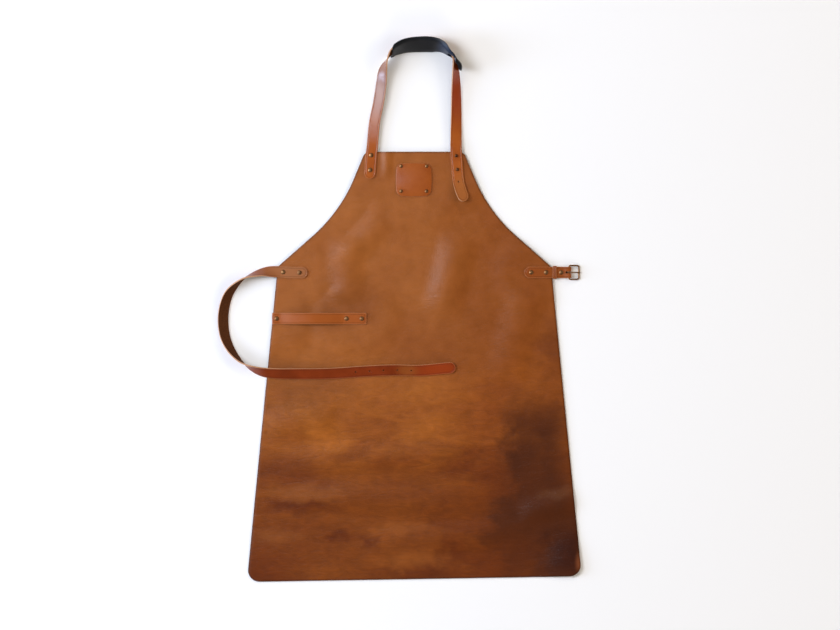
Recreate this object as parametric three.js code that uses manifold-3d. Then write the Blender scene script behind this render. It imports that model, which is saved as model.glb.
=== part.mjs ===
// Leather work apron: one hide with a bib, riveted straps, a padded neck strap, a towel loop and a buckle.
// Millimetres, +Z up. It lies on its back face with the bib towards +Y.
// The origin is the middle of that face.
import * as THREE from 'three';
import { mergeVertices } from 'three/addons/utils/BufferGeometryUtils.js';
import Module from 'manifold-3d';

const wasm = await Module();
wasm.setup();

// Leather and clearances
const GAP = 0.3;
const FLOOR_CLEAR = 0.1;
const HIDE = 2.0;
const STRAP = { width: 21, thick: 2.4, bevel: 0.6 };
const PAD = { thick: 4.4, bevel: 1.5 };
const PATCH = { x: -1, y: 347, width: 67, height: 62.5, corner: 9, bulge: 2, thick: 1.8, segments: 5 };

// The hide lies this high where the rivets' back caps are under it, and sinks to the floor between them.
const CAP_LIFT = 2.0;
const LIFT_FLAT = 45;
const LIFT_BLEND = 40;
const HIDE_TOP = CAP_LIFT + HIDE;
const STRAP_UNDER = HIDE_TOP + GAP;
const STRAP_TOP = STRAP_UNDER + STRAP.thick;
const PATCH_TOP = STRAP_UNDER + PATCH.thick;

// Right half of the cut edge from the hem up, as sharp corners with the radius that rounds each one.
const OUTLINE = [
  { corner: 'hem', x: 313, y: -399, radius: 21 },
  { corner: 'hip', x: 255.6, y: 184.5, radius: 14 },
  { corner: 'armhole', x: 138.7, y: 287.4, radius: 293 },
  { corner: 'bib', x: 92.3, y: 399.5, radius: 14 },
];
const HEM_SKEW = 0.0168;
const ROW_STEP = 29;
const TURN_STEP = THREE.MathUtils.degToRad(24);
const ARMHOLE_STEP = 14;
const ARMHOLE_STEPS = 10;
const COLUMNS = 20;

// Soft folds of the hide: middle, heading of the ridge from +X, half length, half width, and height.
const FOLDS = [
  { fold: 'bib ripple', x: -51, y: 392, heading: 90, long: 46, wide: 13, height: 2.2 },
  { fold: 'left chest', x: -128, y: 180, heading: 93, long: 66, wide: 40, height: 5 },
  { fold: 'left armhole', x: -92, y: 238, heading: 48, long: 56, wide: 34, height: 3.2 },
  { fold: 'right chest', x: 66, y: 168, heading: 76, long: 88, wide: 44, height: 6 },
  { fold: 'right waist', x: 190, y: 60, heading: 75, long: 100, wide: 46, height: 3 },
  { fold: 'left hip', x: -212, y: -104, heading: 4, long: 70, wide: 42, height: 3.2 },
  { fold: 'upper skirt', x: -70, y: -172, heading: 2, long: 190, wide: 34, height: 2.6 },
  { fold: 'middle skirt', x: -60, y: -250, heading: -3, long: 200, wide: 36, height: 3 },
  { fold: 'lower skirt', x: 60, y: -322, heading: 6, long: 170, wide: 36, height: 2.4 },
  { fold: 'right side', x: 256, y: -262, heading: 15, long: 70, wide: 32, height: 3.6 },
  { fold: 'right corner', x: 318, y: -392, heading: -40, long: 90, wide: 62, height: 4 },
];

// Straps: middle line in plan, roll of the face (0 lies flat, plus raises the left-hand edge),
// and the height of the strap's lowest edge.
const STRAP_STEP = 13;
const NECK_STEP = 6;
const ROUTE_SAMPLES = 40;
const TIP_STEPS = [0, 0.8, 2.4, 5.2, 9.6];
const TIP_FLAT = 0.4;
const NECK_STATIONS = [
  { x: -84.4, y: 349.2, roll: 0, under: STRAP_UNDER },
  { x: -82.6, y: 365.4, roll: 0, under: STRAP_UNDER },
  { x: -80.8, y: 392.9, roll: 0, under: STRAP_UNDER },
  { x: -78.6, y: 410, roll: -3, under: 3.8 },
  { x: -74.6, y: 454, roll: -15, under: 1.2 },
  { x: -67.2, y: 490, roll: -21, under: 0.8 },
  { x: -62, y: 525, roll: -26, under: 2 },
  { x: -59, y: 550, roll: -44, under: 4.5 },
  { x: -50.5, y: 569.5, roll: -84, under: 6.6 },
  { x: -40.5, y: 585.5, roll: -110, under: 7 },
  { x: -28.5, y: 595, roll: -124, under: 6.4 },
  { x: -12.8, y: 600.8, roll: -132, under: 5.8 },
  { x: 10.5, y: 603.8, roll: -136, under: 5.4 },
  { x: 33.3, y: 602.9, roll: -134, under: 5.6 },
  { x: 49, y: 598.4, roll: -122, under: 6.2 },
  { x: 60.6, y: 590.4, roll: -104, under: 7.4 },
  { x: 69.4, y: 580.8, roll: -92, under: 7.8 },
  { x: 74.5, y: 569, roll: -78, under: 7.2 },
  { x: 77, y: 551, roll: -58, under: 5.4 },
  { x: 78, y: 515, roll: -38, under: 1.5 },
  { x: 78.2, y: 470, roll: -26, under: 0.8 },
  { x: 77.8, y: 430, roll: -12, under: 1.8 },
  { x: 77.8, y: 406, roll: -2, under: 4 },
  { x: 78.3, y: 392, roll: 0, under: STRAP_UNDER },
  { x: 80.2, y: 366.4, roll: 0, under: STRAP_UNDER },
  { x: 82.2, y: 345, roll: -6, under: 4.6 },
  { x: 87, y: 326, roll: -16, under: 6 },
  { x: 94.6, y: 307.5, roll: -24, under: 8.5 },
];
const WAIST_STATIONS = [
  { x: -199.8, y: 173.4, roll: 0, under: STRAP_UNDER },
  { x: -214.8, y: 173.6, roll: 0, under: STRAP_UNDER },
  { x: -245, y: 174.6, roll: 0, under: STRAP_UNDER },
  { x: -262, y: 175.4, roll: 10, under: 3.6 },
  { x: -281, y: 174.8, roll: 45, under: 0.8 },
  { x: -297, y: 171, roll: 66, under: GAP },
  { x: -316, y: 164, roll: 90, under: GAP },
  { x: -332, y: 152, roll: 112, under: GAP },
  { x: -347, y: 133.6, roll: 136, under: GAP },
  { x: -355, y: 110, roll: 150, under: GAP },
  { x: -357.5, y: 83, roll: 155, under: GAP },
  { x: -354, y: 55, roll: 148, under: GAP },
  { x: -343.7, y: 31, roll: 130, under: GAP },
  { x: -328.5, y: 11.5, roll: 108, under: GAP },
  { x: -316, y: 1.5, roll: 88, under: 0.8 },
  { x: -301, y: -6.5, roll: 64, under: 1.8 },
  { x: -282, y: -12.5, roll: 42, under: HIDE + GAP },
  { x: -258, y: -15, roll: 30, under: HIDE + GAP },
  { x: -220, y: -15.6, roll: 22, under: HIDE + GAP },
  { x: -157.7, y: -15, roll: 18, under: HIDE + GAP },
  { x: -96, y: -11, roll: 17, under: HIDE + GAP },
  { x: -41.9, y: -8.6, roll: 16, under: HIDE + GAP },
  { x: 8.6, y: -9.4, roll: 14, under: HIDE + GAP },
  { x: 56, y: -5.2, roll: 10, under: HIDE + GAP },
  { x: 76.8, y: -3.7, roll: 8, under: HIDE + GAP },
];
const LOOP_Y = 87.7;
const LOOP_STATIONS = [
  { x: -266, y: LOOP_Y, roll: 0, under: STRAP_UNDER },
  { x: -257.4, y: LOOP_Y, roll: 0, under: STRAP_UNDER },
  { x: -249, y: LOOP_Y, roll: 0, under: 4.7 },
  { x: -224, y: LOOP_Y, roll: 0, under: 9.4 },
  { x: -192, y: LOOP_Y, roll: 0, under: 12 },
  { x: -160, y: LOOP_Y, roll: 0, under: 9.4 },
  { x: -135.5, y: LOOP_Y, roll: 0, under: 4.7 },
  { x: -126.9, y: LOOP_Y, roll: 0, under: STRAP_UNDER },
  { x: -98.3, y: LOOP_Y, roll: 0, under: STRAP_UNDER },
  { x: -89.5, y: LOOP_Y, roll: 0, under: STRAP_UNDER },
];

// The pad on the neck strap: distance along the strap, side of it (minus is the neck's), shift across the
// strap, width and extra roll. Its right-hand end comes through a slot to the outer side of the strap.
const PAD_EASE = 1;
const PAD_SIDE = STRAP.thick / 2 + PAD_EASE + PAD.thick / 2;
const PAD_ROWS = [
  { along: 238, side: -PAD_SIDE, shift: 0, width: 26, turn: 0 },
  { along: 239.5, side: -PAD_SIDE, shift: 0, width: 33, turn: 0 },
  { along: 242, side: -PAD_SIDE, shift: 0, width: 36, turn: 0 },
  { along: 249, side: -PAD_SIDE, shift: 0, width: 37.5, turn: 0 },
  { along: 299, side: -PAD_SIDE, shift: 0, width: 39.5, turn: 0 },
  { along: 324, side: -PAD_SIDE, shift: 0, width: 39.5, turn: 0 },
  { along: 346, side: -PAD_SIDE - 1.2, shift: 0, width: 38, turn: 0 },
  { along: 361, side: -PAD_SIDE - 1.3, shift: 0, width: 35, turn: 0 },
  { along: 382, side: PAD_SIDE + 1.6, shift: 0, width: 33, turn: -8 },
  { along: 387, side: PAD_SIDE + 3, shift: 1.5, width: 32, turn: -16 },
  { along: 391, side: PAD_SIDE + 4.2, shift: 3, width: 29, turn: -22 },
  { along: 394, side: PAD_SIDE + 5, shift: 3.6, width: 24, turn: -26 },
  { along: 395.5, side: PAD_SIDE + 5.2, shift: 3.6, width: 15, turn: -26 },
];
const PAD_STEP = 6;
const PAD_SLOTS = [
  { from: 361, to: 383 },
];
const SLOT_CLEAR = 1;
const SLOT_STEPS = 6;

// Punched holes, as distances from a strap's free tip
const HOLE_RADIUS = 1.8;
const HOLE_SIDES = 8;
const DRILL_DEPTH = 40;
const WAIST_HOLES = { first: 83, spacing: 26, count: 5 };
const NECK_SPARE_HOLE = 38;

// Buckle at the right hip: a wire frame and its prong turn on the bar in the fold of the tab.
const BAR = { x: 289, y: 174, z: 4.4 };
const WIRE = 1.45;
const WIRE_SIDES = 8;
const FRAME = { reach: 18.6, inside: 23, toeCorner: 4, heelCorner: 3, cornerSteps: 4 };
const FRAME_DROOP = Math.asin((BAR.z - WIRE - FLOOR_CLEAR) / FRAME.reach);
const EYE = { inner: 1.75, outer: 3.1, width: 2.8, sides: 12 };
const TOE_TOP = WIRE + GAP;
const PRONG_ROWS = [
  { at: 'eye', x: 2.35, z: 1.2, radius: 1.1 },
  { at: 'shoulder', x: 6, z: 2.2, radius: 1.1 },
  { at: 'crook', x: FRAME.reach - 3, z: TOE_TOP + 1.4, radius: 1.1 },
  { at: 'toe', x: FRAME.reach, z: TOE_TOP + 1.1, radius: 1.1 },
  { at: 'tip', x: FRAME.reach + 2, z: TOE_TOP + 0.8, radius: 0.8 },
];
const TAB = { start: 205.8, level: 259, pinch: 279, end: 268.6, swell: 0.55, foldSteps: 6 };
const TAB_BACK = STRAP_UNDER - GAP - STRAP.thick / 2;
const BAR_CLEAR = 0.4;
const FOLD_RADIUS = WIRE + BAR_CLEAR + STRAP.thick / 2;
const PRONG_SLOT = { from: BAR.x - 6, to: BAR.x + 10, width: 4.8 };
const KEEPER = { from: 258.6, to: 265.8, thick: 1.2, clear: 0.5 };

// Rivets: a domed cap, a shank through the leather and a flat cap behind. A stud has a button for a dome.
// Shoulder and belly are shares of the cap's radius or of its height above the leather.
const RIVET = { shank: 1.5, backCap: 4.4, backThick: 1.3, hole: 2, sides: 10 };
const DOME = { height: 1.7, shoulder: 0.8, shoulderUp: 0.65 };
const LARGE_CAP = 4.1;
const SMALL_CAP = 3.2;
const STUD = { waist: 2.4, button: 3.1, height: 3.4, bellyUp: 0.5, shoulderUp: 0.85 };
const BACK_Z = CAP_LIFT - GAP - RIVET.backThick;
const RIVETS = [
  { name: 'neck_rivet_1', x: -80.8, y: 392.9, on: STRAP_TOP, cap: LARGE_CAP },
  { name: 'neck_rivet_2', x: -82.6, y: 365.4, on: STRAP_TOP, cap: LARGE_CAP },
  { name: 'neck_stud_1', x: 78.3, y: 392, on: STRAP_TOP, stud: true },
  { name: 'neck_stud_2', x: 80.2, y: 366.4, on: STRAP_TOP, stud: true },
  { name: 'patch_rivet_1', x: -24.8, y: 372.6, on: PATCH_TOP, cap: SMALL_CAP },
  { name: 'patch_rivet_2', x: 22.8, y: 372.6, on: PATCH_TOP, cap: SMALL_CAP },
  { name: 'patch_rivet_3', x: -24.8, y: 325.8, on: PATCH_TOP, cap: SMALL_CAP },
  { name: 'patch_rivet_4', x: 22.8, y: 325.8, on: PATCH_TOP, cap: SMALL_CAP },
  { name: 'waist_rivet_1', x: -214.8, y: 173.6, on: STRAP_TOP, cap: LARGE_CAP },
  { name: 'waist_rivet_2', x: -245, y: 174.6, on: STRAP_TOP, cap: LARGE_CAP },
  { name: 'loop_rivet_1', x: -257.4, y: LOOP_Y, on: STRAP_TOP, cap: LARGE_CAP },
  { name: 'loop_rivet_2', x: -126.9, y: LOOP_Y, on: STRAP_TOP, cap: LARGE_CAP },
  { name: 'loop_rivet_3', x: -98.3, y: LOOP_Y, on: STRAP_TOP, cap: LARGE_CAP },
  { name: 'tab_rivet_1', x: 218.4, y: BAR.y, on: STRAP_TOP, cap: LARGE_CAP },
  { name: 'tab_rivet_2', x: 246.3, y: BAR.y, on: STRAP_TOP, cap: LARGE_CAP },
  { name: 'tab_rivet_3', x: 274.4, y: BAR.y, on: STRAP_TOP, cap: LARGE_CAP, clearOfHide: true },
];

const MATERIALS = {
  hide: { color: 0x99582b, roughness: 0.5, metalness: 0 },
  strapLeather: { color: 0x8f4522, roughness: 0.45, metalness: 0 },
  padLeather: { color: 0x1d1d20, roughness: 0.6, metalness: 0 },
  brass: { color: 0x8a6a3c, roughness: 0.35, metalness: 1 },
  darkBrass: { color: 0x4a3a28, roughness: 0.4, metalness: 1 },
};

const MERGE = 1e-4;
const up = new THREE.Vector3(0, 0, 1);
const sideways = new THREE.Vector3(0, 1, 0);

// Closed body through a row of rings with equal point counts. An open row gets a flat cap at each end.
function loft(rings, closed = false) {
  const count = rings[0].length;
  const index = [];
  const quad = (a, b, c, d) => index.push(a, b, c, a, c, d);
  const spans = closed ? rings.length : rings.length - 1;
  for (let i = 0; i < spans; i += 1) {
    const here = i * count;
    const there = ((i + 1) % rings.length) * count;
    for (let k = 0; k < count; k += 1) {
      const next = (k + 1) % count;
      quad(here + k, here + next, there + next, there + k);
    }
  }
  if (!closed) {
    const last = (rings.length - 1) * count;
    for (let k = 0; k < count / 2 - 1; k += 1) {
      const mate = count - 1 - k;
      quad(k, mate, mate - 1, k + 1);
      quad(last + k, last + k + 1, last + mate - 1, last + mate);
    }
  }
  const geometry = new THREE.BufferGeometry().setFromPoints(rings.flat());
  geometry.setIndex(index);
  return facingOut(geometry);
}

// Turns the faces round if they enclose a negative volume.
function facingOut(geometry) {
  const position = geometry.getAttribute('position');
  const index = geometry.index.array;
  const corner = (k) => new THREE.Vector3().fromBufferAttribute(position, index[k]);
  let volume = 0;
  for (let k = 0; k < index.length; k += 3) {
    volume += corner(k).dot(corner(k + 1).cross(corner(k + 2)));
  }
  if (volume < 0) {
    geometry.setIndex(Array.from(index).reverse());
  }
  return geometry;
}

function toSolid(geometry) {
  const bare = new THREE.BufferGeometry();
  bare.setAttribute('position', geometry.getAttribute('position'));
  bare.setIndex(geometry.index);
  const merged = mergeVertices(bare, MERGE);
  const vertProperties = new Float32Array(merged.getAttribute('position').array);
  const triVerts = new Uint32Array(merged.index.array);
  return new wasm.Manifold(new wasm.Mesh({ numProp: 3, vertProperties, triVerts }));
}

function toGeometry(solid) {
  const { vertProperties, triVerts } = solid.getMesh();
  const geometry = new THREE.BufferGeometry();
  geometry.setAttribute('position', new THREE.BufferAttribute(vertProperties, 3));
  geometry.setIndex(new THREE.BufferAttribute(triVerts, 1));
  return geometry;
}

function cutAway(geometry, cutters) {
  const cut = cutters.reduce((solid, cutter) => solid.subtract(toSolid(cutter)), toSolid(geometry));
  return toGeometry(cut);
}

// Body of revolution about Z from a profile of radius and height pairs.
function turned(profile, sides) {
  const points = profile.map(([radius, height]) => new THREE.Vector2(radius, height));
  const lathe = new THREE.LatheGeometry(points, sides).rotateX(Math.PI / 2);
  lathe.deleteAttribute('normal');
  lathe.deleteAttribute('uv');
  return facingOut(mergeVertices(lathe, MERGE));
}

// Upright pins that cut the holes of some rows of the rivet table
function rivetHoles(rows) {
  return rows.map(({ x, y }) => {
    const pin = new THREE.CylinderGeometry(RIVET.hole, RIVET.hole, DRILL_DEPTH, HOLE_SIDES);
    return pin.rotateX(Math.PI / 2).translate(x, y, 0);
  });
}

function rivetsOf(prefix) {
  return RIVETS.filter((row) => row.name.startsWith(prefix));
}

const hideRivets = RIVETS.filter((row) => !row.clearOfHide);

// Half widths of the hide from hem to bib: the straight stretches in even steps, the rounded corners as arcs.
function outlineRows() {
  const ends = [{ x: 0, y: OUTLINE[0].y }, { x: 0, y: OUTLINE.at(-1).y }];
  const sharp = [ends[0], ...OUTLINE, ends[1]].map((p) => new THREE.Vector2(p.x, p.y));
  const rows = [];
  OUTLINE.forEach(({ radius }, i) => {
    const [before, corner, after] = sharp.slice(i, i + 3);
    const back = before.clone().sub(corner).normalize();
    const ahead = after.clone().sub(corner).normalize();
    const half = Math.acos(back.dot(ahead)) / 2;
    const reach = radius / Math.tan(half);
    const start = corner.clone().addScaledVector(back, reach);
    const end = corner.clone().addScaledVector(ahead, reach);
    const middle = back.add(ahead).normalize().multiplyScalar(radius / Math.sin(half)).add(corner);
    if (rows.length) {
      const from = rows.at(-1);
      const steps = Math.ceil(from.distanceTo(start) / ROW_STEP);
      for (let k = 1; k < steps; k += 1) {
        rows.push(from.clone().lerp(start, k / steps));
      }
    }
    const first = start.clone().sub(middle).angle();
    const swing = end.clone().sub(middle).angle() - first;
    const turn = Math.atan2(Math.sin(swing), Math.cos(swing));
    const byAngle = Math.abs(turn) / TURN_STEP;
    const byLength = (Math.abs(turn) * radius) / ARMHOLE_STEP;
    const arcSteps = Math.ceil(Math.max(byAngle, Math.min(byLength, ARMHOLE_STEPS)));
    for (let k = 0; k <= arcSteps; k += 1) {
      const angle = first + (turn * k) / arcSteps;
      rows.push(new THREE.Vector2(Math.cos(angle), Math.sin(angle)).multiplyScalar(radius).add(middle));
    }
  });
  return rows;
}

// Height of the hide's back face above the floor: soft folds, and the lift over the rivets' back caps.
function hideHeight(x, y) {
  const folds = FOLDS.reduce((sum, fold) => {
    const heading = THREE.MathUtils.degToRad(fold.heading);
    const dx = x - fold.x;
    const dy = y - fold.y;
    const along = (dx * Math.cos(heading) + dy * Math.sin(heading)) / fold.long;
    const across = (dy * Math.cos(heading) - dx * Math.sin(heading)) / fold.wide;
    const inside = Math.abs(along) < 1 && Math.abs(across) < 1;
    return inside ? sum + fold.height * (1 - along ** 4) ** 2 * (1 - across ** 2) ** 2 : sum;
  }, 0);
  const nearest = Math.min(...hideRivets.map((row) => Math.hypot(x - row.x, y - row.y)));
  const sunk = THREE.MathUtils.smoothstep(nearest, LIFT_FLAT, LIFT_FLAT + LIFT_BLEND);
  return folds + CAP_LIFT * (1 - sunk);
}

function apronBody() {
  const rings = outlineRows().map((row) => {
    const skew = HEM_SKEW * THREE.MathUtils.clamp(row.y / OUTLINE[0].y, 0, 1) ** 2;
    const line = Array.from({ length: COLUMNS + 1 }, (_, i) => {
      const x = row.x * ((2 * i) / COLUMNS - 1);
      const y = row.y + skew * x;
      return new THREE.Vector3(x, y, hideHeight(x, y));
    });
    const top = line.map((p) => p.clone().addScaledVector(up, HIDE));
    return [...top, ...line.reverse()];
  });
  return cutAway(loft(rings), rivetHoles(hideRivets));
}

// Follows stations and gives the strap's middle, its across direction and its face normal at any distance.
function strapRoute(stations) {
  const plan = new THREE.CatmullRomCurve3(stations.map((s) => new THREE.Vector3(s.x, s.y, 0)));
  const rolls = stations.map((s) => new THREE.Vector3(s.roll, s.under, 0));
  const lay = new THREE.CatmullRomCurve3(rolls, false, 'catmullrom');
  plan.arcLengthDivisions = ROUTE_SAMPLES * stations.length;
  const length = plan.getLength();
  const at = (distance) => {
    const t = plan.getUtoTmapping(0, distance);
    const { x: degrees, y: under } = lay.getPoint(t);
    const roll = THREE.MathUtils.degToRad(degrees);
    const heading = plan.getTangent(t);
    const left = new THREE.Vector3().crossVectors(up, heading);
    const across = left.clone().multiplyScalar(Math.cos(roll)).addScaledVector(up, Math.sin(roll));
    const normal = up.clone().multiplyScalar(Math.cos(roll)).addScaledVector(left, -Math.sin(roll));
    const rise = (STRAP.width * Math.abs(Math.sin(roll)) + STRAP.thick * Math.abs(Math.cos(roll))) / 2;
    const centre = plan.getPoint(t).setZ(under + rise);
    return { centre, across, normal, heading };
  };
  return { at, length };
}

// One bevelled cross section of a band
function bandRing({ centre, across, normal }, width, { thick, bevel }) {
  const h = width / 2;
  const t = thick / 2;
  const corners = [[bevel - h, t], [h - bevel, t], [h, t - bevel], [h, bevel - t],
    [h - bevel, -t], [bevel - h, -t], [-h, bevel - t], [-h, t - bevel]];
  return corners.map(([v, w]) => centre.clone().addScaledVector(across, v).addScaledVector(normal, w));
}

// Width of a strap at a distance from its rounded tip
function tipWidth(distance) {
  const radius = STRAP.width / 2;
  const inside = Math.max(radius - distance - TIP_FLAT, 0);
  return 2 * Math.sqrt(radius ** 2 - inside ** 2);
}

function strap(stations, { roundStart, roundEnd, step = STRAP_STEP }) {
  const route = strapRoute(stations);
  const last = TIP_STEPS.at(-1);
  const plain = route.length - 2 * last;
  const count = Math.ceil(plain / step);
  const between = Array.from({ length: count - 1 }, (_, k) => last + ((k + 1) * plain) / count);
  const starts = roundStart ? TIP_STEPS : [0, last];
  const finish = (roundEnd ? TIP_STEPS : [0, last]).map((d) => route.length - d).reverse();
  const rings = [...starts, ...between, ...finish].map((distance) => {
    const startWidth = roundStart ? tipWidth(distance) : STRAP.width;
    const endWidth = roundEnd ? tipWidth(route.length - distance) : STRAP.width;
    return bandRing(route.at(distance), Math.min(startWidth, endWidth), STRAP);
  });
  return loft(rings);
}

// Round punch through a strap's face at a distance along its route
function punch(route, distance) {
  const { centre, normal } = route.at(distance);
  const pin = new THREE.CylinderGeometry(HOLE_RADIUS, HOLE_RADIUS, 4 * STRAP.thick, HOLE_SIDES);
  const turn = new THREE.Quaternion().setFromUnitVectors(sideways, normal);
  return pin.applyQuaternion(turn).translate(centre.x, centre.y, centre.z);
}

function neckStrap() {
  const route = strapRoute(NECK_STATIONS);
  const spare = punch(route, route.length - NECK_SPARE_HOLE);
  const bare = strap(NECK_STATIONS, { roundStart: true, roundEnd: true, step: NECK_STEP });
  return cutAway(bare, [...rivetHoles(rivetsOf('neck_')), spare]);
}

function waistStrap() {
  const route = strapRoute(WAIST_STATIONS);
  const { first, spacing, count } = WAIST_HOLES;
  const holes = Array.from({ length: count }, (_, k) => punch(route, route.length - first - k * spacing));
  const bare = strap(WAIST_STATIONS, { roundStart: true, roundEnd: true });
  return cutAway(bare, [...rivetHoles(rivetsOf('waist_')), ...holes]);
}

function towelLoop() {
  const bare = strap(LOOP_STATIONS, { roundStart: false, roundEnd: false });
  return cutAway(bare, rivetHoles(rivetsOf('loop_')));
}

// Pad rows with the long stretches divided into even steps
function padRows() {
  return PAD_ROWS.flatMap((row, i) => {
    const next = PAD_ROWS[i + 1];
    if (!next) {
      return [row];
    }
    const steps = Math.ceil((next.along - row.along) / PAD_STEP);
    return Array.from({ length: steps }, (_, k) => {
      const mix = (key) => THREE.MathUtils.lerp(row[key], next[key], k / steps);
      return Object.fromEntries(Object.keys(row).map((key) => [key, mix(key)]));
    });
  });
}

function neckPad() {
  const route = strapRoute(NECK_STATIONS);
  const rings = padRows().map((row) => {
    const { centre, across, normal, heading } = route.at(row.along);
    centre.addScaledVector(normal, row.side).addScaledVector(across, row.shift);
    const turn = THREE.MathUtils.degToRad(row.turn);
    across.applyAxisAngle(heading, turn);
    normal.applyAxisAngle(heading, turn);
    return bandRing({ centre, across, normal }, row.width, PAD);
  });
  const cutter = { thick: 6 * PAD.thick, bevel: SLOT_CLEAR };
  const slots = PAD_SLOTS.map(({ from, to }) => {
    const step = (to - from) / SLOT_STEPS;
    const frames = Array.from({ length: SLOT_STEPS + 1 }, (_, k) => route.at(from + k * step));
    return loft(frames.map((frame) => bandRing(frame, STRAP.width + 2 * SLOT_CLEAR, cutter)));
  });
  return cutAway(loft(rings), slots);
}

// Square patch with rounded corners and slightly bowed sides
function badgePatch() {
  const w = PATCH.width / 2 - PATCH.bulge;
  const h = PATCH.height / 2 - PATCH.bulge;
  const c = PATCH.corner;
  const b = 2 * PATCH.bulge;
  const shape = new THREE.Shape()
    .moveTo(c - w, -h)
    .quadraticCurveTo(0, -h - b, w - c, -h)
    .quadraticCurveTo(w, -h, w, c - h)
    .quadraticCurveTo(w + b, 0, w, h - c)
    .quadraticCurveTo(w, h, w - c, h)
    .quadraticCurveTo(0, h + b, c - w, h)
    .quadraticCurveTo(-w, h, -w, h - c)
    .quadraticCurveTo(-w - b, 0, -w, c - h)
    .quadraticCurveTo(-w, -h, c - w, -h);
  rivetsOf('patch_').forEach(({ x, y }) => {
    const hole = new THREE.Path().absarc(x - PATCH.x, y - PATCH.y, RIVET.hole, 0, 2 * Math.PI, true);
    shape.holes.push(hole);
  });
  const { thick: depth, segments: curveSegments } = PATCH;
  const plate = new THREE.ExtrudeGeometry(shape, { depth, curveSegments, bevelEnabled: false });
  return plate.translate(PATCH.x, PATCH.y, STRAP_UNDER);
}

// The tab runs along the hide, is pinched by its last rivet, folds round the bar and comes back underneath.
function buckleTab() {
  const front = STRAP_UNDER + STRAP.thick / 2;
  const fold = Array.from({ length: TAB.foldSteps + 1 }, (_, k) => {
    const angle = Math.PI / 2 - (k * Math.PI) / TAB.foldSteps;
    return { x: BAR.x + FOLD_RADIUS * Math.cos(angle), z: BAR.z + FOLD_RADIUS * Math.sin(angle) };
  });
  const rounded = TIP_STEPS.map((d) => ({ x: TAB.start + d, z: front }));
  const halfway = (TAB.pinch + BAR.x) / 2;
  const line = [
    ...rounded,
    { x: TAB.level, z: front },
    { x: TAB.pinch, z: front },
    { x: halfway, z: THREE.MathUtils.lerp(front, fold[0].z, TAB.swell) },
    ...fold,
    { x: halfway, z: THREE.MathUtils.lerp(TAB_BACK, fold.at(-1).z, TAB.swell) },
    { x: TAB.pinch, z: TAB_BACK },
    { x: TAB.end, z: TAB_BACK },
  ].map((p) => new THREE.Vector3(p.x, BAR.y, p.z));
  const rings = line.map((centre, i) => {
    const before = line[Math.max(i - 1, 0)];
    const after = line[Math.min(i + 1, line.length - 1)];
    const normal = after.clone().sub(before).normalize().cross(sideways);
    const width = i < rounded.length ? tipWidth(TIP_STEPS[i]) : STRAP.width;
    return bandRing({ centre, across: sideways, normal }, width, STRAP);
  });
  const slot = new THREE.BoxGeometry(PRONG_SLOT.to - PRONG_SLOT.from, PRONG_SLOT.width, DRILL_DEPTH);
  slot.translate((PRONG_SLOT.from + PRONG_SLOT.to) / 2, BAR.y, BAR.z);
  return cutAway(loft(rings), [...rivetHoles(rivetsOf('tab_')), slot]);
}

// Closed loop of thin leather that hangs round the tab beside the hide's edge
function strapKeeper() {
  const inner = { y: STRAP.width / 2 + KEEPER.clear, low: FLOOR_CLEAR + KEEPER.thick, high: STRAP_TOP + GAP };
  const band = (grow) => [
    [-inner.y - grow, inner.low - grow], [inner.y + grow, inner.low - grow],
    [inner.y + grow, inner.high + grow], [-inner.y - grow, inner.high + grow],
  ];
  const inside = band(0);
  const rings = band(KEEPER.thick).map(([y, z], k) => {
    const [innerY, innerZ] = inside[k];
    return [
      new THREE.Vector3(KEEPER.from, BAR.y + y, z),
      new THREE.Vector3(KEEPER.to, BAR.y + y, z),
      new THREE.Vector3(KEEPER.to, BAR.y + innerY, innerZ),
      new THREE.Vector3(KEEPER.from, BAR.y + innerY, innerZ),
    ];
  });
  return loft(rings, true);
}

// Round section of a wire standing across its path
function wireRing(centre, side, normal, radius) {
  return Array.from({ length: WIRE_SIDES }, (_, k) => {
    const angle = (2 * Math.PI * (k + 0.5)) / WIRE_SIDES;
    return centre.clone()
      .addScaledVector(side, radius * Math.cos(angle))
      .addScaledVector(normal, radius * Math.sin(angle));
  });
}

// Wire rectangle with rounded corners, its heel bar on the Y axis
function buckleFrame() {
  const half = FRAME.inside / 2 + WIRE;
  const corners = [
    { x: 0, y: half, radius: FRAME.heelCorner, from: 180 },
    { x: FRAME.reach, y: half, radius: FRAME.toeCorner, from: 90 },
    { x: FRAME.reach, y: -half, radius: FRAME.toeCorner, from: 0 },
    { x: 0, y: -half, radius: FRAME.heelCorner, from: -90 },
  ];
  const steps = FRAME.cornerSteps;
  const rings = corners.flatMap(({ x, y, radius, from }) => {
    const cx = x - Math.sign(x - FRAME.reach / 2) * radius;
    const cy = y - Math.sign(y) * radius;
    return Array.from({ length: steps + 1 }, (_, k) => {
      const angle = THREE.MathUtils.degToRad(from - (90 * k) / steps);
      const outward = new THREE.Vector3(Math.cos(angle), Math.sin(angle), 0);
      const centre = new THREE.Vector3(cx, cy, 0).addScaledVector(outward, radius);
      return wireRing(centre, outward, up, WIRE);
    });
  });
  return loft(rings, true);
}

// An eye round the bar and a tapered pin that lies on the toe of the frame
function buckleProng() {
  const { inner, outer, width, sides } = EYE;
  const wall = [[inner, -width / 2], [outer, -width / 2], [outer, width / 2], [inner, width / 2]];
  const eye = turned([...wall, wall[0]], sides).rotateX(Math.PI / 2);
  const rings = PRONG_ROWS.map(({ x, z, radius }) => {
    return wireRing(new THREE.Vector3(x, 0, z), sideways, up, radius);
  });
  return toGeometry(toSolid(eye).add(toSolid(loft(rings))));
}

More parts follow.
